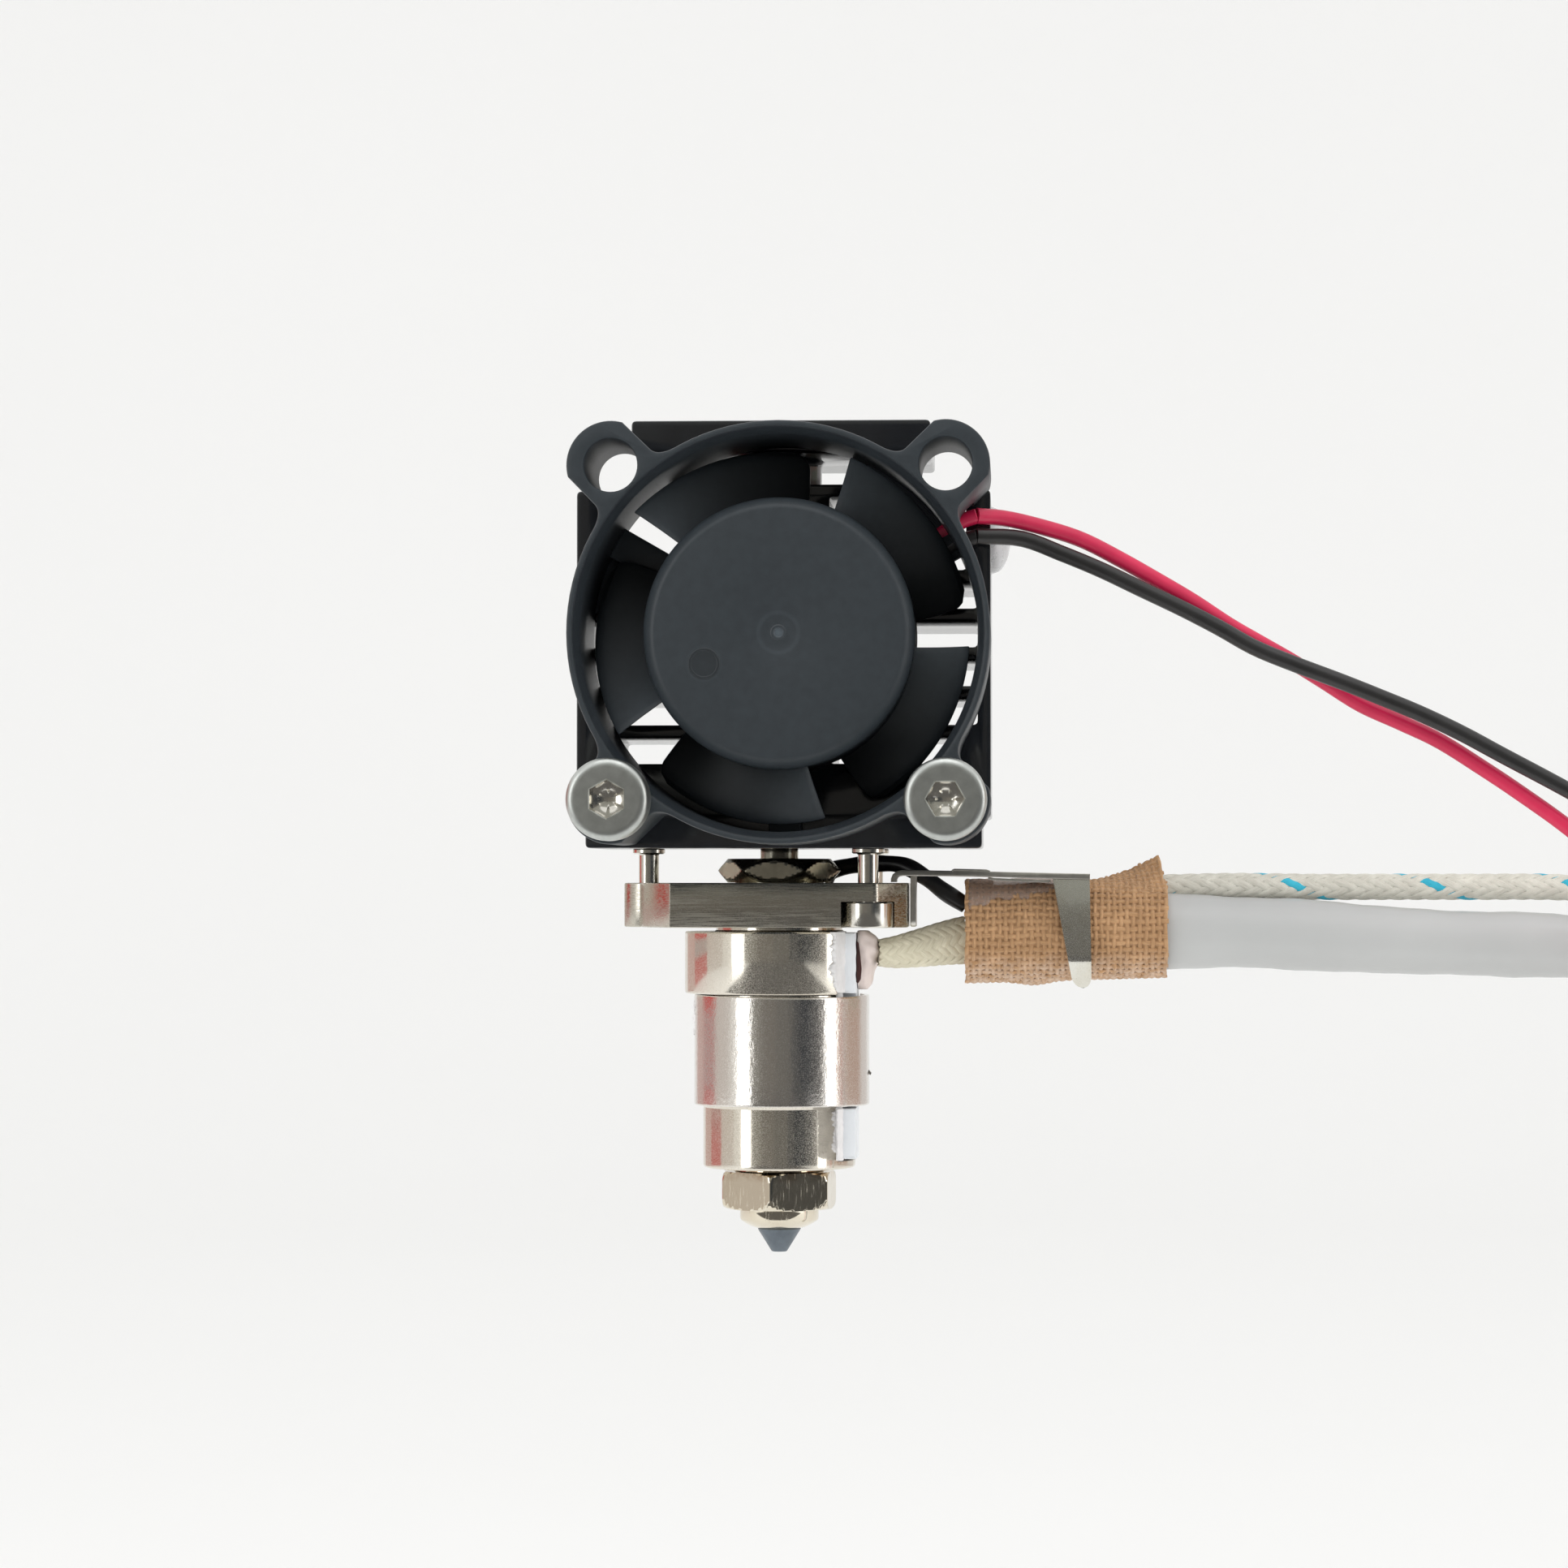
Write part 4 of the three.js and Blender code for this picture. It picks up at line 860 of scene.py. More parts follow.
def fan_frame():
    holes = [circle(FAN_X, 0, 12.30, 128)]
    holes += [circle(FAN_X + sx, sz, 1.6, 48) for sx in (-10, 10) for sz in (-10, 10)]
    shell = plate("frame_shell", frame_outline(), holes, "y", FAN_FRONT, FAN_BACK, 0.14)
    notch = plate("frame_notch", oblong(8.5, 14, 5.5, 8.3), [], "y", FAN_BACK - 2.3, FAN_BACK + 1, 0.02)
    parts = [subtract(shell, notch)]
    for angle in (30, 150, 270):
        c, s = math.cos(math.radians(angle)), math.sin(math.radians(angle))
        strut = [(FAN_X + d * c - w * s, d * s + w * c) for d, w in oblong(6.2, 12.1, -1.0, 1.0)]
        parts.append(plate("frame_strut", strut, [], "y", FAN_BACK - 1.8, FAN_BACK, 0.15))
    for a0, a1, r0 in ((27, 70, 11.0), (147, 172, 8.6)):
        rim = arc(FAN_X, 0, 12.2, a0, a1, 16) + arc(FAN_X, 0, r0, a1, a0, 16)
        parts.append(plate("frame_web", rim, [], "y", FAN_BACK - 0.6, FAN_BACK, 0.1))
    base = [(0, 1.4), (6.3, 1.4), (6.6, 1.6), (6.85, 1.6), (6.9, 1.5), (6.9, 0.1), (6.8, 0), (4.2, 0),
            (4.1, 0.15), (0, 0.15)]
    parts.append(polar("frame_base", [(r, FAN_BACK - h) for r, h in base], (FAN_X, 0), "y", 72))
    tower = [(1.93, 3.0), (2.3, 3.0), (2.35, 3.1), (2.35, 8.7), (1.93, 8.7)]
    parts.append(polar("frame_tower", [(r, FAN_FRONT + h) for r, h in tower], (FAN_X, 0), "y", 48,
                       closed=True))
    return joined("fan_housing", parts)


dress(fan_frame(), PLASTIC, "fan_frame", angle=30)
bore = [(12.42, 0.06), (12.28, 0.10), (12.14, 0.42), (11.95, 1.0), (11.9, 1.3), (11.9, 9.88), (12.02, 9.98),
        (12.42, 9.98)]
lining = polar("fan_housing_bore", [(r, FAN_FRONT + h) for r, h in bore], (FAN_X, 0), "y", 160, closed=True)
dress(lining, LINING, angle=30)


def fan_blade(k):
    """A swept blade: lead edge forward, trailing edge back with its outer corner rounded off."""
    along, across = 26, 12
    root, tip = 7.9, 11.42
    verts = []
    for face in (-1, 1):
        for i in range(along + 1):
            u = i / along
            for j in range(across + 1):
                v = j / across
                radius = root + (tip - root) * v
                corner = max(0.0, (v - 0.72) / 0.28)
                lead = 65.9 + 2.2 * v
                trail = 7.0 + 3.0 * v + 5.0 * (1 - math.sqrt(max(0.0, 1 - corner ** 2)))
                angle = math.radians(lead + (trail - lead) * u + 72 * k)
                depth = 2.15 + 5.5 * (1.25 * u - 0.25 * u * u) + 0.35 * (1 - v) * math.sin(math.pi * u)
                thin = 0.30 * (0.55 + 1.9 * u * (1 - u)) * (1.1 - 0.35 * v)
                verts.append((FAN_X + radius * math.cos(angle), FAN_FRONT + depth + face * thin,
                              radius * math.sin(angle)))
    return recalc(bevelled_mesh(new_object("blade", verts, skin_faces(along, across)), 0.09))


def bevelled_mesh(obj, width, segments=2, angle=50):
    bm = bmesh.new()
    bm.from_mesh(obj.data)
    bmesh.ops.recalc_face_normals(bm, faces=bm.faces)
    edges = [e for e in bm.edges if len(e.link_faces) == 2 and e.calc_face_angle(0) > math.radians(angle)]
    bmesh.ops.bevel(bm, geom=edges, offset=width * MM, segments=segments, affect="EDGES", profile=0.5,
                    clamp_overlap=True)
    bm.to_mesh(obj.data)
    bm.free()
    return obj


def impeller():
    hub = [
        (0, 0.86), (0.22, 0.86), (0.30, 0.80), (0.42, 0.78), (0.5, 0.82), (1.05, 0.82), (1.12, 0.80),
        (7.42, 0.80), (7.55, 0.82), (7.72, 0.92), (7.98, 1.18), (8.11, 1.36), (8.15, 1.55), (8.15, 7.75),
        (8.05, 7.9), (7.4, 7.9), (7.28, 7.75), (7.28, 1.8), (0, 1.8),
    ]
    ring = [(0.74, 0.81), (0.80, 0.775), (0.92, 0.775), (0.98, 0.81)]
    parts = [polar("hub", [(r, FAN_FRONT + h) for r, h in hub], (FAN_X, 0), "y", 144),
             polar("mark", [(r, FAN_FRONT + h) for r, h in ring], MARK, "y", 48, closed=True)]
    return joined("impeller", parts + [fan_blade(k) for k in range(5)])


dress(impeller(), ROTOR, "fan_impeller", "fan_rotor", angle=26)


def fan_screw(label, side, turn):
    """A socket screw: rounded rim, flat satin face, tapered hexagonal socket with a drilled bottom."""
    x, z = FAN_X + side * 10, -10.0
    f = FAN_FRONT - 2.5
    head = polar("head", [
        (1.9, f), (2.03, f + 0.005), (2.16, f + 0.04), (2.29, f + 0.11), (2.39, f + 0.21), (2.44, f + 0.33),
        (2.46, f + 0.46), (2.46, f + 2.40), (2.36, f + 2.5), (1.2, f + 2.5), (1.2, -10.8), (1.0, -10.6),
        (0, -10.6),
    ], (x, z), "y", 120)
    hexed = hex_limit(2.0, turn)
    shrink = {f: 99, f + 0.001: 0.07, f + 0.08: 0.0, f + 0.5: -0.05, f + 1.25: -0.10}

    def limit(a, h, r):
        return r if r < 50 else (1.9 if h == f else hexed(a, h, r) + shrink[h])

    face = polar("face", [*((60, h) for h in shrink), (0.62, f + 1.32), (0, f + 1.75)], (x, z), "y", 120,
                 limit=limit)
    obj = joined("fan_screw_" + label + "_detail", [head, face])
    recalc(obj, 0.002)
    obj.data.materials.append(STEEL)
    obj.data.materials.append(BRIGHT)
    # the socket's walls and bottom take the brighter steel: partly a glossier finish, partly a painted highlight
    # in its lighter colour
    for polygon in obj.data.polygons:
        away = Vector((polygon.center.x - x * MM, polygon.center.z - z * MM)).length / MM
        polygon.material_index = 1 if away < 1.22 and polygon.center.y / MM > f + 0.06 else 0
    dress(obj, STEEL, "fan_screw_" + label, angle=24)


fan_screw("left", -1, 90)
fan_screw("right", 1, 0)

# The wires' last stretch, from the notch in the ring in along the strut, behind the blades.
for label, mat, z0, bend in (("red", RED_WIRE, 7.55, 0.0), ("black", BLACK_WIRE, 6.3, -0.9)):
    inner = [(12.0, -16.45, z0), (11.0, -16.42, z0 - 0.35), (9.6, -16.4, z0 - 1.25 + bend * 0.2),
             (8.0, -16.4, z0 - 2.3 + bend * 0.3), (6.6, -16.4, z0 - 3.2 + bend * 0.3)]
    dress(tube("fan_tail_" + label, sampled(inner, 0.25), 0.48, 14, 0.05), mat)


# ------------------------------------------------------------------ heat break, liner, grub screw
def heat_break():
    z0, z1 = -14.93, -13.43
    mid = (z0 + z1) / 2
    rows = []
    for k in range(13):
        h = z0 + (z1 - z0) * k / 12
        rows.append((3.27 + 0.86 * (0.75 - abs(h - mid)), h))
    hexed = [(0, z0), (3.1, z0), *rows, (3.1, z1), (0, z1)]
    lower = [(1.0, -20.5), (2.7, -20.5), (2.82, -20.3), (2.82, z0), (2.6, z0 + 0.1)]
    upper = [(1.25, z1 - 0.1), (1.2, z1 + 0.08), (1.2, -11.5), (2.2, -11.5), (2.25, -11.4), (2.25, -3.4),
             (1.0, -3.4)]
    parts = [polar("hex", hexed, AXIS, "z", 240, limit=hex_limit(6.85, -3)),
             polar("lower", lower, AXIS, "z", 48), polar("upper", upper, AXIS, "z", 48)]
    dress(joined("heat_break_detail", parts), DARK_STEEL, "heat_break", angle=22)


heat_break()
liner = polar("liner", [(1.0, -3.2), (1.5, -3.2), (1.5, 13.25), (1.42, 13.35), (1.04, 13.35), (1.0, 13.3)],
              AXIS, "z", 48, closed=True)
dress(liner, PTFE, "ptfe_liner")
socket = hex_limit(1.25, 0)
grub = polar("grub", [
    (0, -5.1), (1.0, -5.1), (1.2, -4.95), (1.2, -0.85), (1.05, -0.65), (0.78, -0.65), (0.70, -0.75),
    (0.70, -1.9), (0, -2.1),
], (AXIS[0], -10.0), "y", 96, limit=lambda a, h, r: socket(a, h, r) if r < 0.75 and h > -2.0 else 99)
dress(grub, DARK_STEEL, "grub_screw")


# ------------------------------------------------------------------ clamp plate and tie screws
def clamp_plate():
    front, x0, x1, corner, under = -13.6, -7.15, 5.75, (7.62, -10.6), -19
    back = 2 * AXIS[1] - front
    outline = rounded([(x0, front, 0.05), (x1, front), corner, (corner[0], 2 * AXIS[1] - corner[1]),
                       (x1, back),
                       (x0, back, 0.05)], 0.3)
    lobe = arc(*STUD, 1.57, 107, 253, 16)
    flank = []
    for k in range(1, 12):
        t = k / 12
        flank.append((lobe[-1][0] * (1 - t) ** 2 - 8.85 * 2 * t * (1 - t) + x0 * t * t,
                      lobe[-1][1] * (1 - t) ** 2 - 11.6 * 2 * t * (1 - t) + front * t * t))
    outline += [(x, 2 * AXIS[1] - y) for x, y in reversed(flank)] + lobe + flank
    body = plate("clamp_plate_body", outline, [circle(*AXIS, 2.93, 64)], "z", -17.74, -14.95, 0.10)
    deep = [("z", *FRONT_POST, under, -16.12, 1.66, 96), ("z", *REAR_POST, under, -16.12, 1.66, 64),
            ("z", *STUD, -17.2, -14, 0.82, 32)]
    body = subtract(body, cutter("plate_counterbores", deep))
    thin = [("z", *post, -16.2, -14, 0.9, 48) for post in (FRONT_POST, REAR_POST)]
    body = subtract(body, cutter("plate_holes", thin))
    for y0, y1 in ((-14.5, -12.4), (-2.6, 0.5)):
        body = subtract(body, plate("mouth", oblong(3.5, 6.82, y0, y1), [], "z", under, -16.12, 0.01))
    body.name = "clamp_plate_detail"
    return body


dress(clamp_plate(), GROUND, "clamp_plate", angle=28)


def tie_screw(name, place, replaces, headed=True):
    def part(label, profile, segs, limit=None):
        return polar(name + label, profile, place, "z", segs, limit=limit)

    parts = [part("_collar", [(0, -13.13), (0.93, -13.13), (1.03, -13.05), (1.03, -12.86), (0.98, -12.8),
                              (0.76, -12.8),
                              (0.76, -9.6), (0, -9.5)], 48)]
    if headed:
        socket = hex_limit(1.5, 10)
        parts.append(part("_shank", [(0.64, -16.2), (0.64, -13.2), (0.72, -13.1)], 40))
        parts.append(part("_head", [
            (0, -16.9), (0.87, -16.95), (0.87, -17.7), (1.0, -17.74), (1.42, -17.74), (1.52, -17.68),
            (1.55, -17.58), (1.55, -16.24), (1.47, -16.15), (0, -16.15),
        ], 96, lambda a, h, r: socket(a, h, r) if r < 0.9 else 99))
    else:
        parts.append(part("_shank", [(0, -17.0), (0.78, -16.95), (0.78, -15.2), (0.64, -15.0), (0.64, -13.2),
                                     (0.72, -13.1)], 40))
    dress(joined(name, parts), BRIGHT, replaces)


tie_screw("stud_left_detail", STUD, "tie_stud_left", headed=False)
tie_screw("tie_front_detail", FRONT_POST, "tie_screw_front")
tie_screw("tie_rear_detail", REAR_POST, "tie_screw_rear")


# ------------------------------------------------------------------ heater core
def core():
    flat = 3.2 - AXIS[0]
    profile = [
        (0.0, -32.91), (2.9, -32.91), (4.58, -32.91), (4.72, -32.87), (4.80, -32.76), (4.81, -32.6),
        (4.81, -32.405), (4.81, -32.395), (4.81, -31.0), (4.81, -29.1), (4.9, -29.0), (4.98, -28.9),
        (4.98, -22.0), (5.02, -21.93), (5.86, -21.92), (5.95, -21.86), (5.98, -21.74), (5.98, -18.12),
        (5.93, -18.02), (5.86, -18.0), (4.1, -17.99), (4.0, -17.92), (4.0, -17.74), (2.95, -17.74),
        (2.95, -20.8), (0, -20.9),
    ]
    return polar("core_detail", profile, AXIS, "z", 288,
                 limit=lambda a, h, r: flat / math.cos(a) if -32.40 <= h <= -18.0 and math.cos(a) > 0.2 else 99)


dress(core(), NICKEL, "heater_core", angle=25)


def cement_layer():
    """A thin layer whose outer face and edges wander, as smeared cement does."""
    rows, cols, rough = 60, 22, 0.10
    low, high = -32.3, -18.05
    verts = []
    for outer in (0, 1):
        for i in range(rows + 1):
            z = low + (high - low) * i / rows
            front = -11.2 + wander(0, z * 0.9, 2) * rough * 4
            back = -3.8 + wander(5, z * 0.8, 2) * rough * 4
            for j in range(cols + 1):
                y = front * (1 - j / cols) + back * j / cols
                verts.append((3.50 + wander(y * 1.7, z * 1.1, 11) * rough if outer else 3.12, y, z))
    return recalc(new_object("cement_layer", verts, skin_faces(rows, cols)))


dress(cement_layer(), CEMENT, "thermal_cement")


def smear(name, low, high, reach, seed, left, right):
    """Cement pressed out over the front corner: ragged at its left edge, lumpy, thin over the collar."""
    rows, cols = 90, 18
    verts = []
    for side in (0, 1):
        for i in range(rows + 1):
            t = i / rows
            z = high + (low - high) * t
            rag = wander(seed, z * 1.6, 0) * 0.34 + wander(seed, z * 5.0, 3) * 0.20
            taper = 0.35 * max(0.0, t - 0.8) / 0.2
            for j in range(cols + 1):
                u = j / cols
                x = (left + rag + taper) * (1 - u) + (right + rag * 0.2) * u
                if x < 3.2:
                    metal = AXIS[1] - math.sqrt(max(0.0, reach ** 2 - (x - AXIS[0]) ** 2))
                else:
                    metal = -12.0 + (x - 3.2) * 2.4
                lump = 0.10 * wander(x * 1.8, z * 1.2, seed + 5) + 0.05 * wander(x * 5, z * 4, seed)
                thick = 0.20 * math.sin(math.pi * min(1, u * 3) / 2) + lump * min(1, u * 4)
                verts.append((x, metal + 0.5 if side else metal - thick, z))
    dress(recalc(new_object(name, verts, skin_faces(rows, cols))), CEMENT, angle=70)


smear("cement_smear_top", -21.80, -18.02, 5.98, 1, 2.85, 3.68)
smear("cement_smear_low", -32.25, -29.05, 4.81, 6, 2.90, 3.55)
for label, high, low in (("top", -18.06, -21.85), ("low", -29.06, -32.2)):
    heights = [high + (low - high) * k / 30 for k in range(31)]
    right_edge = [(4.33 + 0.05 * wander(z * 2.1, 1, 0), z) for z in heights]
    left_edge = [(3.45 + 0.06 * wander(z * 3.1, 2, 0), z) for z in heights]
    dress(plate("cement_skin_" + label, right_edge + left_edge[::-1], [], "y", -10.9, -9.2, 0.12), CERAMIC)
slab = plate("heater_slab", rounded(oblong(-9.3, -5.7, -32.3, -18.1), 0.12), [], "x", 3.5, 4.35, 0.08)
dress(slab, CERAMIC, "ceramic_heater")


def spring_sleeve():
    """A rolled sheet with its slit at the back right and its front edge standing a little proud."""
    cx, cy, outer, thick = -0.47, -7.5, 5.53, 0.28
    rows = [(-28.92, 0.0), (-28.80, 0.01), (-27.2, 0.004), (-25.4, 0.0), (-23.6, 0.004), (-22.2, 0.01),
            (-22.05, 0.0)]
    segs = 200
    start, stop = 34.0, 385.0
    verts = []
    for skin in (0, 1):
        for z, swell in rows:
            for k in range(segs + 1):
                a = math.radians(start + (stop - start) * k / segs)
                ends = max(0.0, 1 - min(k, segs - k) / 8)
                r = outer - thick * (1 - skin) + swell + 0.10 * ends * (1 if k > segs / 2 else 0.4)
                wave = 0.06 * math.sin(a * 2 + 1) if z > -23 else (0.025 * math.sin(a * 3) if z < -28.7 else 0)
                verts.append((cx + r * math.cos(a), cy + r * math.sin(a), z + wave))
    obj = bevelled_mesh(recalc(new_object("sleeve_detail", verts, skin_faces(len(rows) - 1, segs))), 0.05,
                        2, 60)
    dress(recalc(obj), SLEEVE, "spring_sleeve", angle=35)


spring_sleeve()


def potting():
    """The soft lump that seals the heater's leads, thick at the top and drawn down to a tail."""
    rows, segs = 40, 40
    stops = ((0.0, 0.62), (0.08, 1.02), (0.22, 1.24), (0.5, 1.22), (0.64, 1.0), (0.9, 0.80), (1.0, 0.45))
    verts = []
    for i in range(rows + 1):
        t = i / rows
        z = -17.96 - 3.7 * t
        wide = 2.2 * math.sqrt(max(0.0, 1 - (2 * t - 0.75) ** 2 / 1.7)) * (1 - 0.35 * t)
        for (t0, d0), (t1, d1) in zip(stops, stops[1:]):
            if t0 <= t <= t1:
                deep = d0 + (d1 - d0) * (t - t0) / (t1 - t0)
        for k in range(segs):
            c, s = math.cos(2 * math.pi * k / segs), math.sin(2 * math.pi * k / segs)
            grow = (1 + 0.16 * wander(c * 0.9 + 4, s * 0.9, z * 0.6)
                    + 0.14 * wander(c * 2.7, s * 2.7 + 9, z * 1.9))
            x = 4.5 + max(-0.10, deep * c * grow)
            verts.append((min(x, 5.78), max(-10.35, min(-5.9, -8.1 + wide * s * grow)), z))
    faces = hoop_faces(rows + 1, segs)
    faces += [tuple(range(segs)), tuple(range(rows * segs, (rows + 1) * segs))]
    dress(recalc(new_object("potting_detail", verts, faces)), POTTING, "potting_cement", angle=80)


potting()
crack = [(4.37, -18.6), (4.50, -18.75), (4.60, -19.6), (4.66, -20.4), (4.60, -21.0), (4.44, -21.25),
         (4.37, -21.2)]
dress(plate("crack", crack, [], "y", -10.3, -9.2, 0.02), MAROON)
dress(plate("burr", [(4.85, -26.5), (5.22, -26.95), (5.16, -27.1), (4.85, -26.9)], [], "y", -7.9, -7.2,
            0.03), SLEEVE)
for number, (x, z, size) in enumerate(((-5.94, -22.7, 0.34), (-5.98, -23.5, 0.28), (-5.96, -24.3, 0.2))):
    radii = (size, size * 1.6, 0.16)
    dress(blob("fleck_%d" % number, (x + 0.05, -8.2, z), radii, (-1, -0.2, 0), number, 0.2, 10, 20), CEMENT)


# ------------------------------------------------------------------ nozzle
def nozzle():
    z1, z0, corner = -33.15, -35.5, 3.868
    rows = [(0, 0.50), (0.06, 0.36), (0.14, 0.22), (0.26, 0.10), (0.42, 0.03), (0.7, 0.0),
            (1.75, 0.0), (1.99, 0.03), (2.15, 0.10), (2.25, 0.22), (2.35, 0.42)]
    hexed = [(0, z0), *((corner - cut, z0 + h) for h, cut in rows), (2.9, z1), (2.8, z1 + 0.05),
             (2.8, -27.2), (0, -27.1)]
    lower = [(1.05, -36.72), (1.60, -36.70), (1.80, -36.63), (2.05, -36.50), (2.28, -36.36), (2.43, -36.24),
             (2.49, -36.10), (2.49, -35.45)]
    return joined("nozzle_detail", [polar("hex", hexed, AXIS, "z", 240, limit=hex_limit(6.7, 24.3)),
                                    polar("round", lower, AXIS, "z", 96)])


dress(nozzle(), POLISHED, "nozzle_body", angle=24)
tip = [(0.2, -37.8), (0.2, -38.24), (0.46, -38.24), (0.52, -38.18), (1.30, -36.92), (1.36, -36.80),
       (1.30, -36.72),
       (1.0, -36.72), (1.0, -34.1), (0.2, -34.1)]
dress(polar("tip_detail", tip, AXIS, "z", 96), TIP_STEEL, "nozzle_tip", angle=28)


# ------------------------------------------------------------------ leads at the core
sensor_route = [(2.1, -3.9, -14.85), (2.5, -4.05, -14.2), (3.9, -4.7, -13.85), (5.6, -5.6, -13.72),
                (7.2, -6.4, -13.85), (8.6, -6.9, -14.6), (9.8, -7.1, -15.5), (11.2, -7.2, -16.4)]
sleeve = tube("sensor_sleeve", sampled(sensor_route, 0.2), lambda s: 0.54 + 0.03 * math.sin(s * 2.1), 24,
              0.05)
dress(sleeve, BLACK_SLEEVE, "thermistor_lead_sleeve")


def lead_size(s):
    t = min(1, s / 5.5)
    return 0.86 + 0.28 * t, 0.84 + 0.66 * t ** 0.85


lead_path = sampled([(5.75, -9.0, -19.35), (6.5, -8.85, -19.33), (7.2, -8.7, -19.25), (8.6, -8.3, -19.0),
                     (9.9, -7.9, -18.75), (11.2, -7.6, -18.55)], 0.08)
lead_core = tube("lead_core", lead_path, lambda s: tuple(v - 0.1 for v in lead_size(s)), 32, 0.05)
lead_yarn = braid("lead_yarn", lead_path, lead_size, 12, 7.0, 0.46, 0.07, 0.028)
dress(joined("lead_sleeve", [lead_core, lead_yarn]), CREAM, "heater_lead_sleeve", angle=60)


# ------------------------------------------------------------------ bracket
def sheet_strip(name, centre_line, thick, low, high, bevel=0.05):
    """A bent strip: a centre line in the XZ plane thickened by thick and run from low to high along Y."""
    pts = [Vector((q[0], q[1])) for q in centre_line]
    left, right = [], []
    for i, q in enumerate(pts):
        t = (pts[min(i + 1, len(pts) - 1)] - pts[max(i - 1, 0)]).normalized()
        n = Vector((-t.y, t.x)) * thick / 2
        left.append(tuple(q + n))
        right.append(tuple(q - n))
    return plate(name, left + right[::-1], [], "y", low, high, bevel)


def tab_front(z):
    """How far forward the clip's hanging tongue stands: leaning out to its middle, its end turned in."""
    stops = ((0.0, -11.00), (0.15, -11.15), (0.30, -11.285), (0.45, -11.39), (0.60, -11.455), (0.69, -11.46),
             (0.745, -11.43), (0.79, -11.32), (0.88, -11.02), (1.0, -10.66))
    t = min(1.0, max(0.0, (-14.3 - z) / 7.3))
    k = next(k for k in range(len(stops) - 1) if t <= stops[k + 1][0])
    before, after = stops[max(0, k - 1)], stops[min(len(stops) - 1, k + 2)]
    (t0, y0), (t1, y1) = stops[k], stops[k + 1]
    rise0 = (y1 - before[1]) / (t1 - before[0]) * (t1 - t0)
    rise1 = (after[1] - y0) / (after[0] - t0) * (t1 - t0)
    u = (t - t0) / (t1 - t0)
    return (y0 * (2 * u ** 3 - 3 * u * u + 1) + rise0 * (u ** 3 - 2 * u * u + u)
            + y1 * (3 * u * u - 2 * u ** 3) + rise1 * (u ** 3 - u * u))


def tongue():
    rows, cols, thick, top, reach = 60, 16, 0.38, -14.40, 7.13
    verts = []
    for side in (0, 1):
        for i in range(rows + 1):
            z = top - reach * i / rows
            fall = min(1.0, max(0.0, (z + 20.75) / -0.78))
            curl = 1 - math.sqrt(max(0.0, 1 - fall ** 2))
            left = 16.58 + 1.22 * (top - z) / 6.5 + 0.62 * curl
            right = 18.93 + 0.12 * (top - z) / 7.0 - 0.52 * curl
            for j in range(cols + 1):
                verts.append((left + (right - left) * j / cols, tab_front(z) + thick * side, z))
    return bevelled_mesh(recalc(new_object("tongue", verts, skin_faces(rows, cols))), 0.07, 3, 60)


def bracket():
    """A thin spring clip: hooked foot, sloping arm, leg beside the plate, tongue over the cloth."""
    arm = [(6.72, -14.9), (6.72, -14.72), (6.80, -14.52), (6.98, -14.38), (7.25, -14.33), (8.5, -14.34),
           (12.0, -14.40),
           (17.0, -14.52), (18.95, -14.56)]
    lap = [(10.35, -14.20), (10.5, -14.13), (12.5, -14.17), (12.72, -14.25)]
    under = [(12.6, -14.62), (12.9, -14.72), (16.2, -14.86), (16.5, -14.82)]
    leg = rounded([(-10.4, -17.7, 0.45), (-7.4, -17.7, 0.45), (-7.4, -14.4), (-10.4, -14.4)], 0.2)
    parts = [sheet_strip("arm", arm, 0.36, -11.25, -8.9), sheet_strip("lap", lap, 0.13, -11.28, -8.95, 0.03),
             sheet_strip("under", under, 0.16, -11.1, -9.0, 0.03),
             plate("leg", leg, [], "x", 7.74, 8.10, 0.07)]
    dress(joined("bracket_detail", parts), ARM_STEEL, "cable_bracket", angle=30)
    dress(tongue(), TAB, angle=30)


bracket()

# ------------------------------------------------------------------ cloth wrap
LEFT, RIGHT = 11.30, 23.68
FREE = 3.4
TURN = math.radians(50)


def wrap_section(x):
    t = (x - LEFT) / (RIGHT - LEFT)
    bulge = 0.16 * math.exp(-((x - 15.5) / 1.2) ** 2)
    return -7.5, -18.0 + 0.17 * t - bulge * 0.5, 3.24 - 0.19 * t + bulge


def wrap_point(x, w):
    """A point on the cloth, w millimetres past the place where the loose end starts to peel away."""
    cy, cz, r = wrap_section(x)
    peel = math.radians(90 - 40 * min(1, max(0, (x - 19.3) / 4.4)))
    on_body = (peel - TURN) * r
    angle = TURN + min(w, on_body) / r
    out = Vector((0, -math.cos(angle), math.sin(angle)))
    p = Vector((x, cy, cz)) + out * r
    if w > on_body:
        p += Vector((0, math.sin(angle), math.cos(angle))) * (w - on_body)
        p.x -= 0.12 * (w - on_body) * min(1, max(0, (x - 20) / 3))
    return p, out


def wrap_core():
    steps, segs, inset = 40, 64, 0.13
    verts = []
    for i in range(steps + 1):
        x = LEFT + 0.05 + (RIGHT - LEFT - 0.1) * i / steps
        cy, cz, r = wrap_section(x)
        for k in range(segs):
            a = 2 * math.pi * k / segs
            verts.append((x, cy - (r - inset) * math.cos(a), cz + (r - inset) * math.sin(a)))
    faces = hoop_faces(steps + 1, segs)
    faces += [tuple(range(segs)), tuple(range(steps * segs, (steps + 1) * segs))]
    return recalc(new_object("wrap_solid", verts, faces))


def wrap_backing():
    """The inner side of the loose end, behind its yarns."""
    cols, rows = 30, 14
    verts = []
    for depth in (0.03, 0.09):
        for i in range(cols + 1):
            x = 18.8 + (RIGHT - 18.85) * i / cols
            for j in range(rows + 1):
                p, out = wrap_point(x, (FREE - 0.1) * (1 - j / rows))
                verts.append(p - out * depth)
    faces = grid_faces(cols, rows) + grid_faces(cols, rows, (cols + 1) * (rows + 1))
    return new_object("wrap_backing", verts, faces)


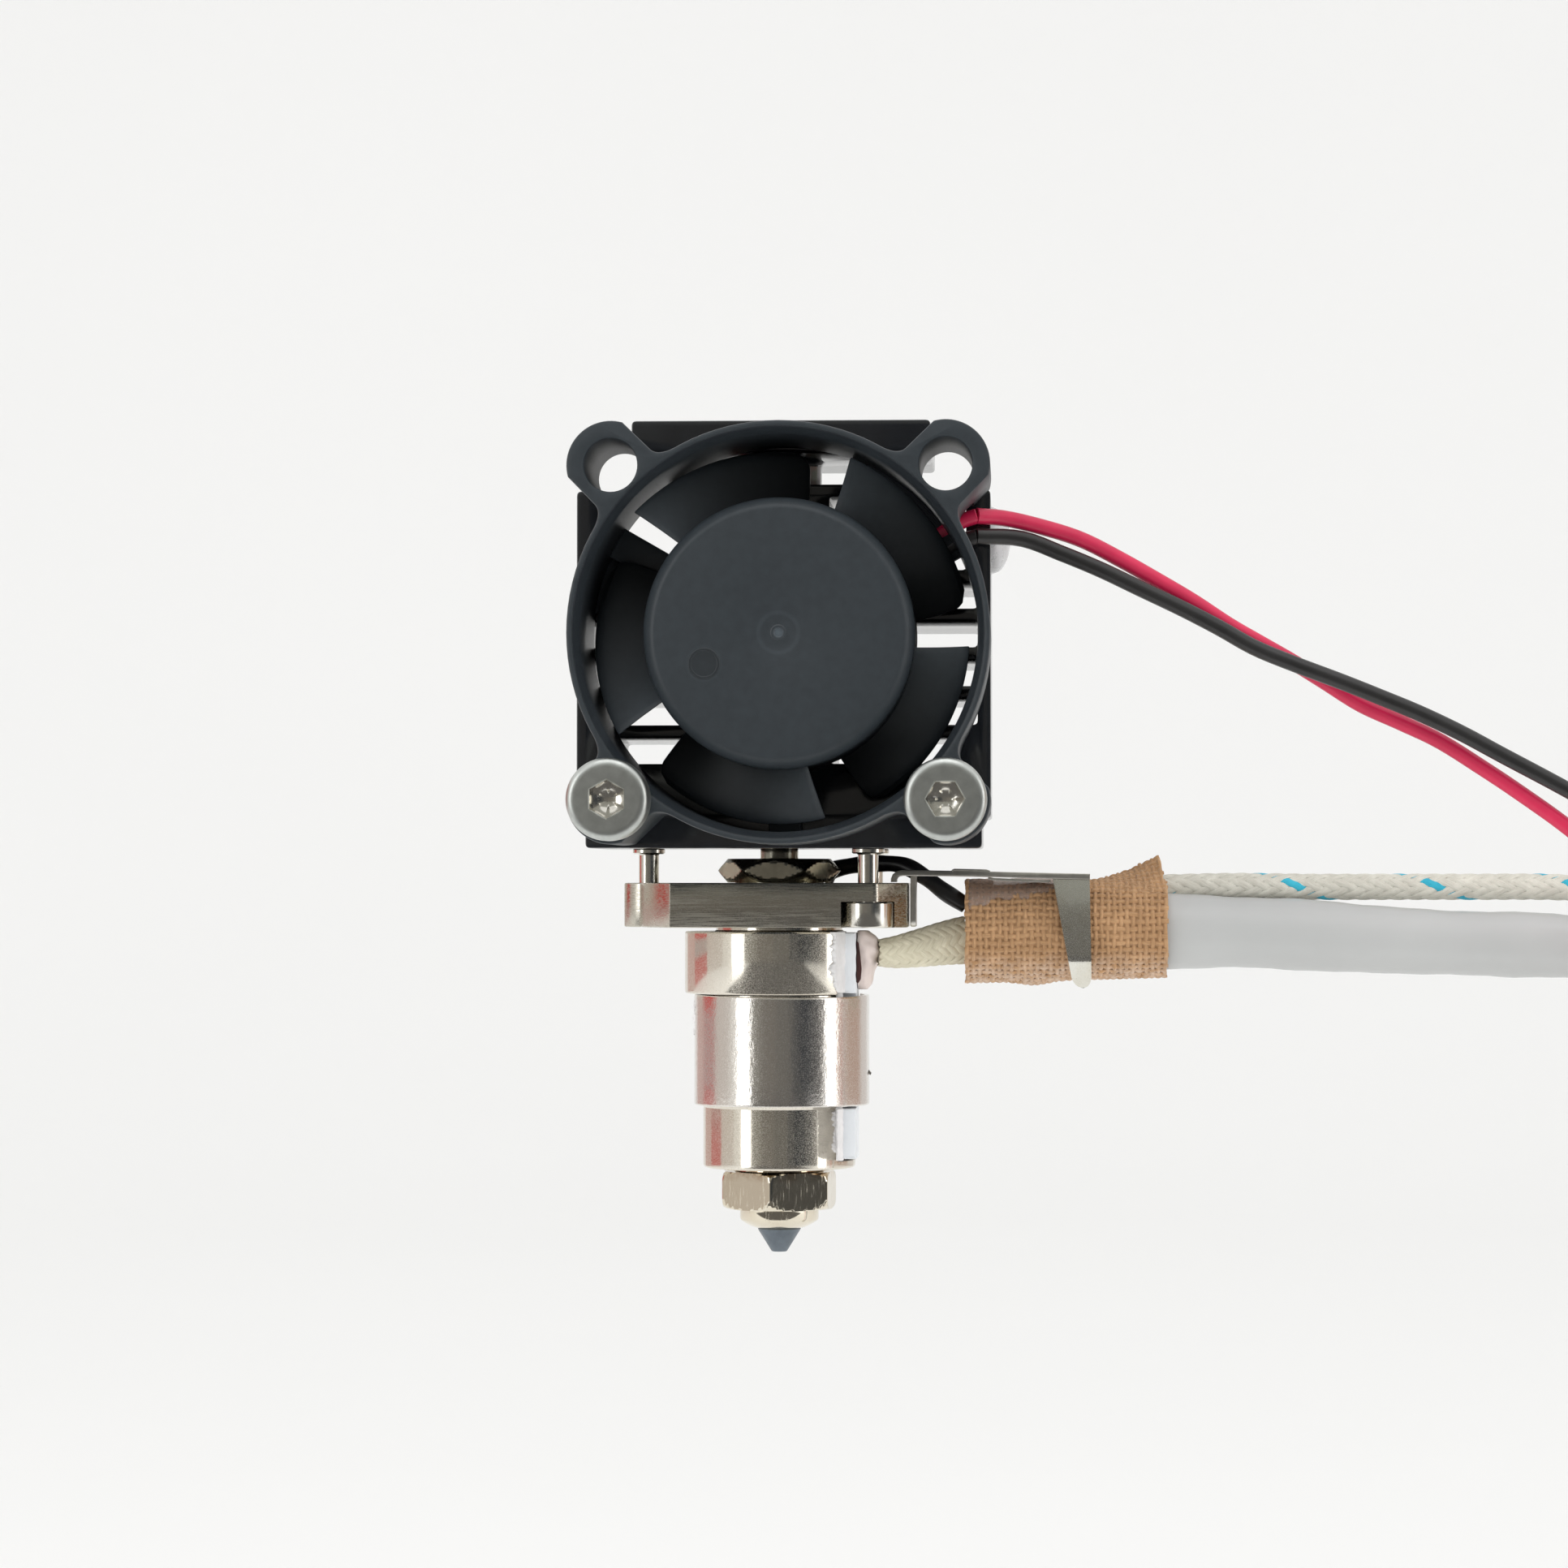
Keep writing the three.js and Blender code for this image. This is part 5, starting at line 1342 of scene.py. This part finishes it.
def wrap():
    """Plain weave: yarns round the cables and yarns along them, crossing over and under."""
    along_pitch, round_pitch, lift, sunk = 0.405, 0.465, 0.055, 0.10
    turn_length = 2 * math.pi * 3.15 - 0.4
    hoops = round((RIGHT - LEFT) / along_pitch)
    rounds = round((turn_length + FREE) / round_pitch)
    hoop_lines, axial_lines = [], []
    for i in range(hoops + 1):
        x = LEFT + (RIGHT - LEFT) * i / hoops
        line = []
        for j in range(4 * rounds + 1):
            w = FREE - j * round_pitch / 4 + (0.16 * math.sin(i * 2.1) if j == 0 else 0)
            p, out = wrap_point(x + 0.035 * math.sin(w * 1.7 + i * 1.3), w)
            line.append((p + out * (lift * math.cos(math.pi * (j / 4 + i)) - sunk), Vector((1, 0, 0)), out))
        hoop_lines.append((line, 0))
    for j in range(rounds + 1):
        w = FREE - j * round_pitch
        line = []
        for i in range(-1, 4 * hoops + 2):
            stray = 0.10 * math.sin(j * 2.7) if i < 0 or i > 4 * hoops else 0
            x = LEFT + (RIGHT - LEFT) * i / (4 * hoops) + stray
            p, out = wrap_point(x, w + 0.035 * math.sin(x * 1.9 + j * 1.1))
            across = (wrap_point(x, w - 0.05)[0] - p).normalized()
            line.append((p - out * (lift * math.cos(math.pi * (i / 4 + j)) + sunk), across, out))
        axial_lines.append((line, 0))
    yarns = [ribbons("hoops", hoop_lines, 0.275, 0.13), ribbons("axials", axial_lines, 0.315, 0.13)]
    return joined("wrap_detail", [*yarns, wrap_core(), wrap_backing()])


dress(wrap(), CLOTH, "cable_wrap", angle=70)


def adhesive():
    """A clear smear of adhesive soaked into the cloth under the clip's arm."""
    cols, rows = 60, 12
    verts = []
    for skin in (0, 1):
        for i in range(cols + 1):
            x = 11.35 + 6.2 * i / cols
            cy, cz, r = wrap_section(x)
            low = 28 + 26 * i / cols + 10 * wander(x * 1.1, 0, 4) + 5 * wander(x * 3.1, 2, 4)
            for j in range(rows + 1):
                a = math.radians(low + (80 - low) * j / rows)
                edge = min(1, j / 2, i / 2, (cols - i) / 4)
                deep = r + (0.02 + 0.10 * edge + 0.03 * wander(x * 2.2, j * 0.6, 8) if skin else -0.06)
                verts.append((x, cy - deep * math.cos(a), cz + deep * math.sin(a)))
    return recalc(new_object("wrap_adhesive", verts, skin_faces(cols, rows, turned=False)))


dress(adhesive(), RESIN, angle=60)


# ------------------------------------------------------------------ floor, surroundings and light
def glowing(obj, colour):
    """Make a sheet glow softly and show only in reflections."""
    mat = bpy.data.materials.new(obj.name)
    mat.use_nodes = True
    tree = mat.node_tree
    tree.nodes.clear()
    out = tree.nodes.new("ShaderNodeOutputMaterial")
    glow = tree.nodes.new("ShaderNodeEmission")
    glow.inputs["Color"].default_value = (*colour, 1)
    glow.inputs["Strength"].default_value = 1.0
    tree.links.new(glow.outputs["Emission"], out.inputs["Surface"])
    obj.data.materials.append(mat)
    obj.visible_camera = obj.visible_diffuse = obj.visible_shadow = obj.visible_transmission = False
    obj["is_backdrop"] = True


def card(name, azimuth, wide, bottom, top, colour):
    """An upright card that faces the object from that side, its edges at those heights."""
    a = math.radians(azimuth)
    centre = Vector((math.sin(a), -math.cos(a), 0)) * CARD_DISTANCE
    side = Vector((math.cos(a), math.sin(a), 0)) * wide / 2
    low, high = Vector((0, 0, bottom)), Vector((0, 0, top))
    corners = [centre - side + low, centre + side + low, centre + side + high, centre - side + high]
    glowing(new_object(name, corners, [(0, 1, 2, 3)]), colour)


def backdrop():
    """A pale floor that turns up into the wall behind in one wide curve."""
    profile = [(-3000, -105), (-1200, -105), (0, -105), (500, -105)]
    profile += arc(900, 495, 600, -90, 0, 15)
    profile += [(1500, 1500), (1500, 3500)]
    verts = [(x, y, z) for y, z in profile for x in (-4000, 4000)]
    obj = new_object("backdrop", verts, grid_faces(len(profile) - 1, 1))
    obj.data.shade_smooth()
    obj.data.materials.append(grain("backdrop_white", (0.90, 0.90, 0.895), 0.7, tint=0.006, size=60,
                                    bump_by=0.01))
    obj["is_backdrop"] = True


backdrop()

# What the bright metal mirrors: from and to azimuth, bottom and top in millimetres, colour.
CARD_DISTANCE = 640
LOW, HIGH, EYE_HIGH = -215, 215, 130
CARDS = [
    (-150, -125, LOW, -22, (0.62, 0.45, 0.42)), (-150, -125, -22, HIGH, (0.60, 0.57, 0.50)),
    (-125, -98, LOW, -64, (0.56, 0.13, 0.12)), (-125, -98, -64, -34, (0.44, 0.44, 0.42)),
    (-125, -98, -34, HIGH, (0.60, 0.085, 0.075)), (-98, -72, LOW, HIGH, (0.62, 0.57, 0.53)),
    (-72, -60, LOW, HIGH, (0.76, 0.74, 0.70)), (-42, -27, LOW, EYE_HIGH, (0.26, 0.25, 0.22)),
    (-27, -8, LOW, EYE_HIGH, (0.20, 0.185, 0.165)), (-8, 12, LOW, EYE_HIGH, (0.17, 0.162, 0.148)),
    (12, 22, LOW, EYE_HIGH, (0.10, 0.10, 0.10)), (22, 38, LOW, EYE_HIGH, (0.048, 0.052, 0.058)),
    (38, 50, LOW, EYE_HIGH, (0.08, 0.08, 0.08)), (50, 58, LOW, EYE_HIGH, (0.20, 0.19, 0.18)),
    (76, 96, LOW, HIGH, (0.60, 0.46, 0.39)), (96, 125, LOW, -15.5, (0.52, 0.38, 0.32)),
    (96, 125, -15.5, HIGH, (0.42, 0.42, 0.34)), (125, 150, LOW, HIGH, (0.72, 0.68, 0.66)),
]
for number, (start, stop, bottom, top, colour) in enumerate(CARDS):
    wide = 2 * CARD_DISTANCE * math.tan(math.radians((stop - start) / 2)) * 1.02
    card("card_%02d" % number, (start + stop) / 2 + 3, wide, bottom, top, colour)
card("card_above", 8, 1150, 130, 420, (0.34, 0.34, 0.31))
near = [(x, y, -104) for x, y in oblong(-330, 330, -900, -130)]
glowing(new_object("card_near", near, [(0, 1, 2, 3)]), (0.14, 0.135, 0.13))

world = bpy.data.worlds.new("studio")
world.use_nodes = True
world.node_tree.nodes["Background"].inputs["Color"].default_value = (1.0, 0.997, 0.99, 1)
world.node_tree.nodes["Background"].inputs["Strength"].default_value = 1.0
bpy.context.scene.world = world


def area(name, azimuth, elevation, distance, wide, tall, power):
    a, e = math.radians(azimuth), math.radians(elevation)
    light = bpy.data.lights.new(name, "AREA")
    light.shape = "RECTANGLE"
    light.size, light.size_y = wide, tall
    light.energy = power
    obj = bpy.data.objects.new(name, light)
    away = Vector((math.sin(a) * math.cos(e), -math.cos(a) * math.cos(e), math.sin(e)))
    obj.location = away * distance
    obj.rotation_mode = "QUATERNION"
    obj.rotation_quaternion = away.to_track_quat("Z", "Y")
    obj.visible_camera = False
    bpy.context.scene.collection.objects.link(obj)


area("softbox_left", -48, 4, 0.50, 0.135, 0.50, 0.50)
area("softbox_right", 70, 4, 0.50, 0.125, 0.50, 0.46)
area("softbox_top", 5, 68, 0.80, 0.60, 0.50, 1.2)

low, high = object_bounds()
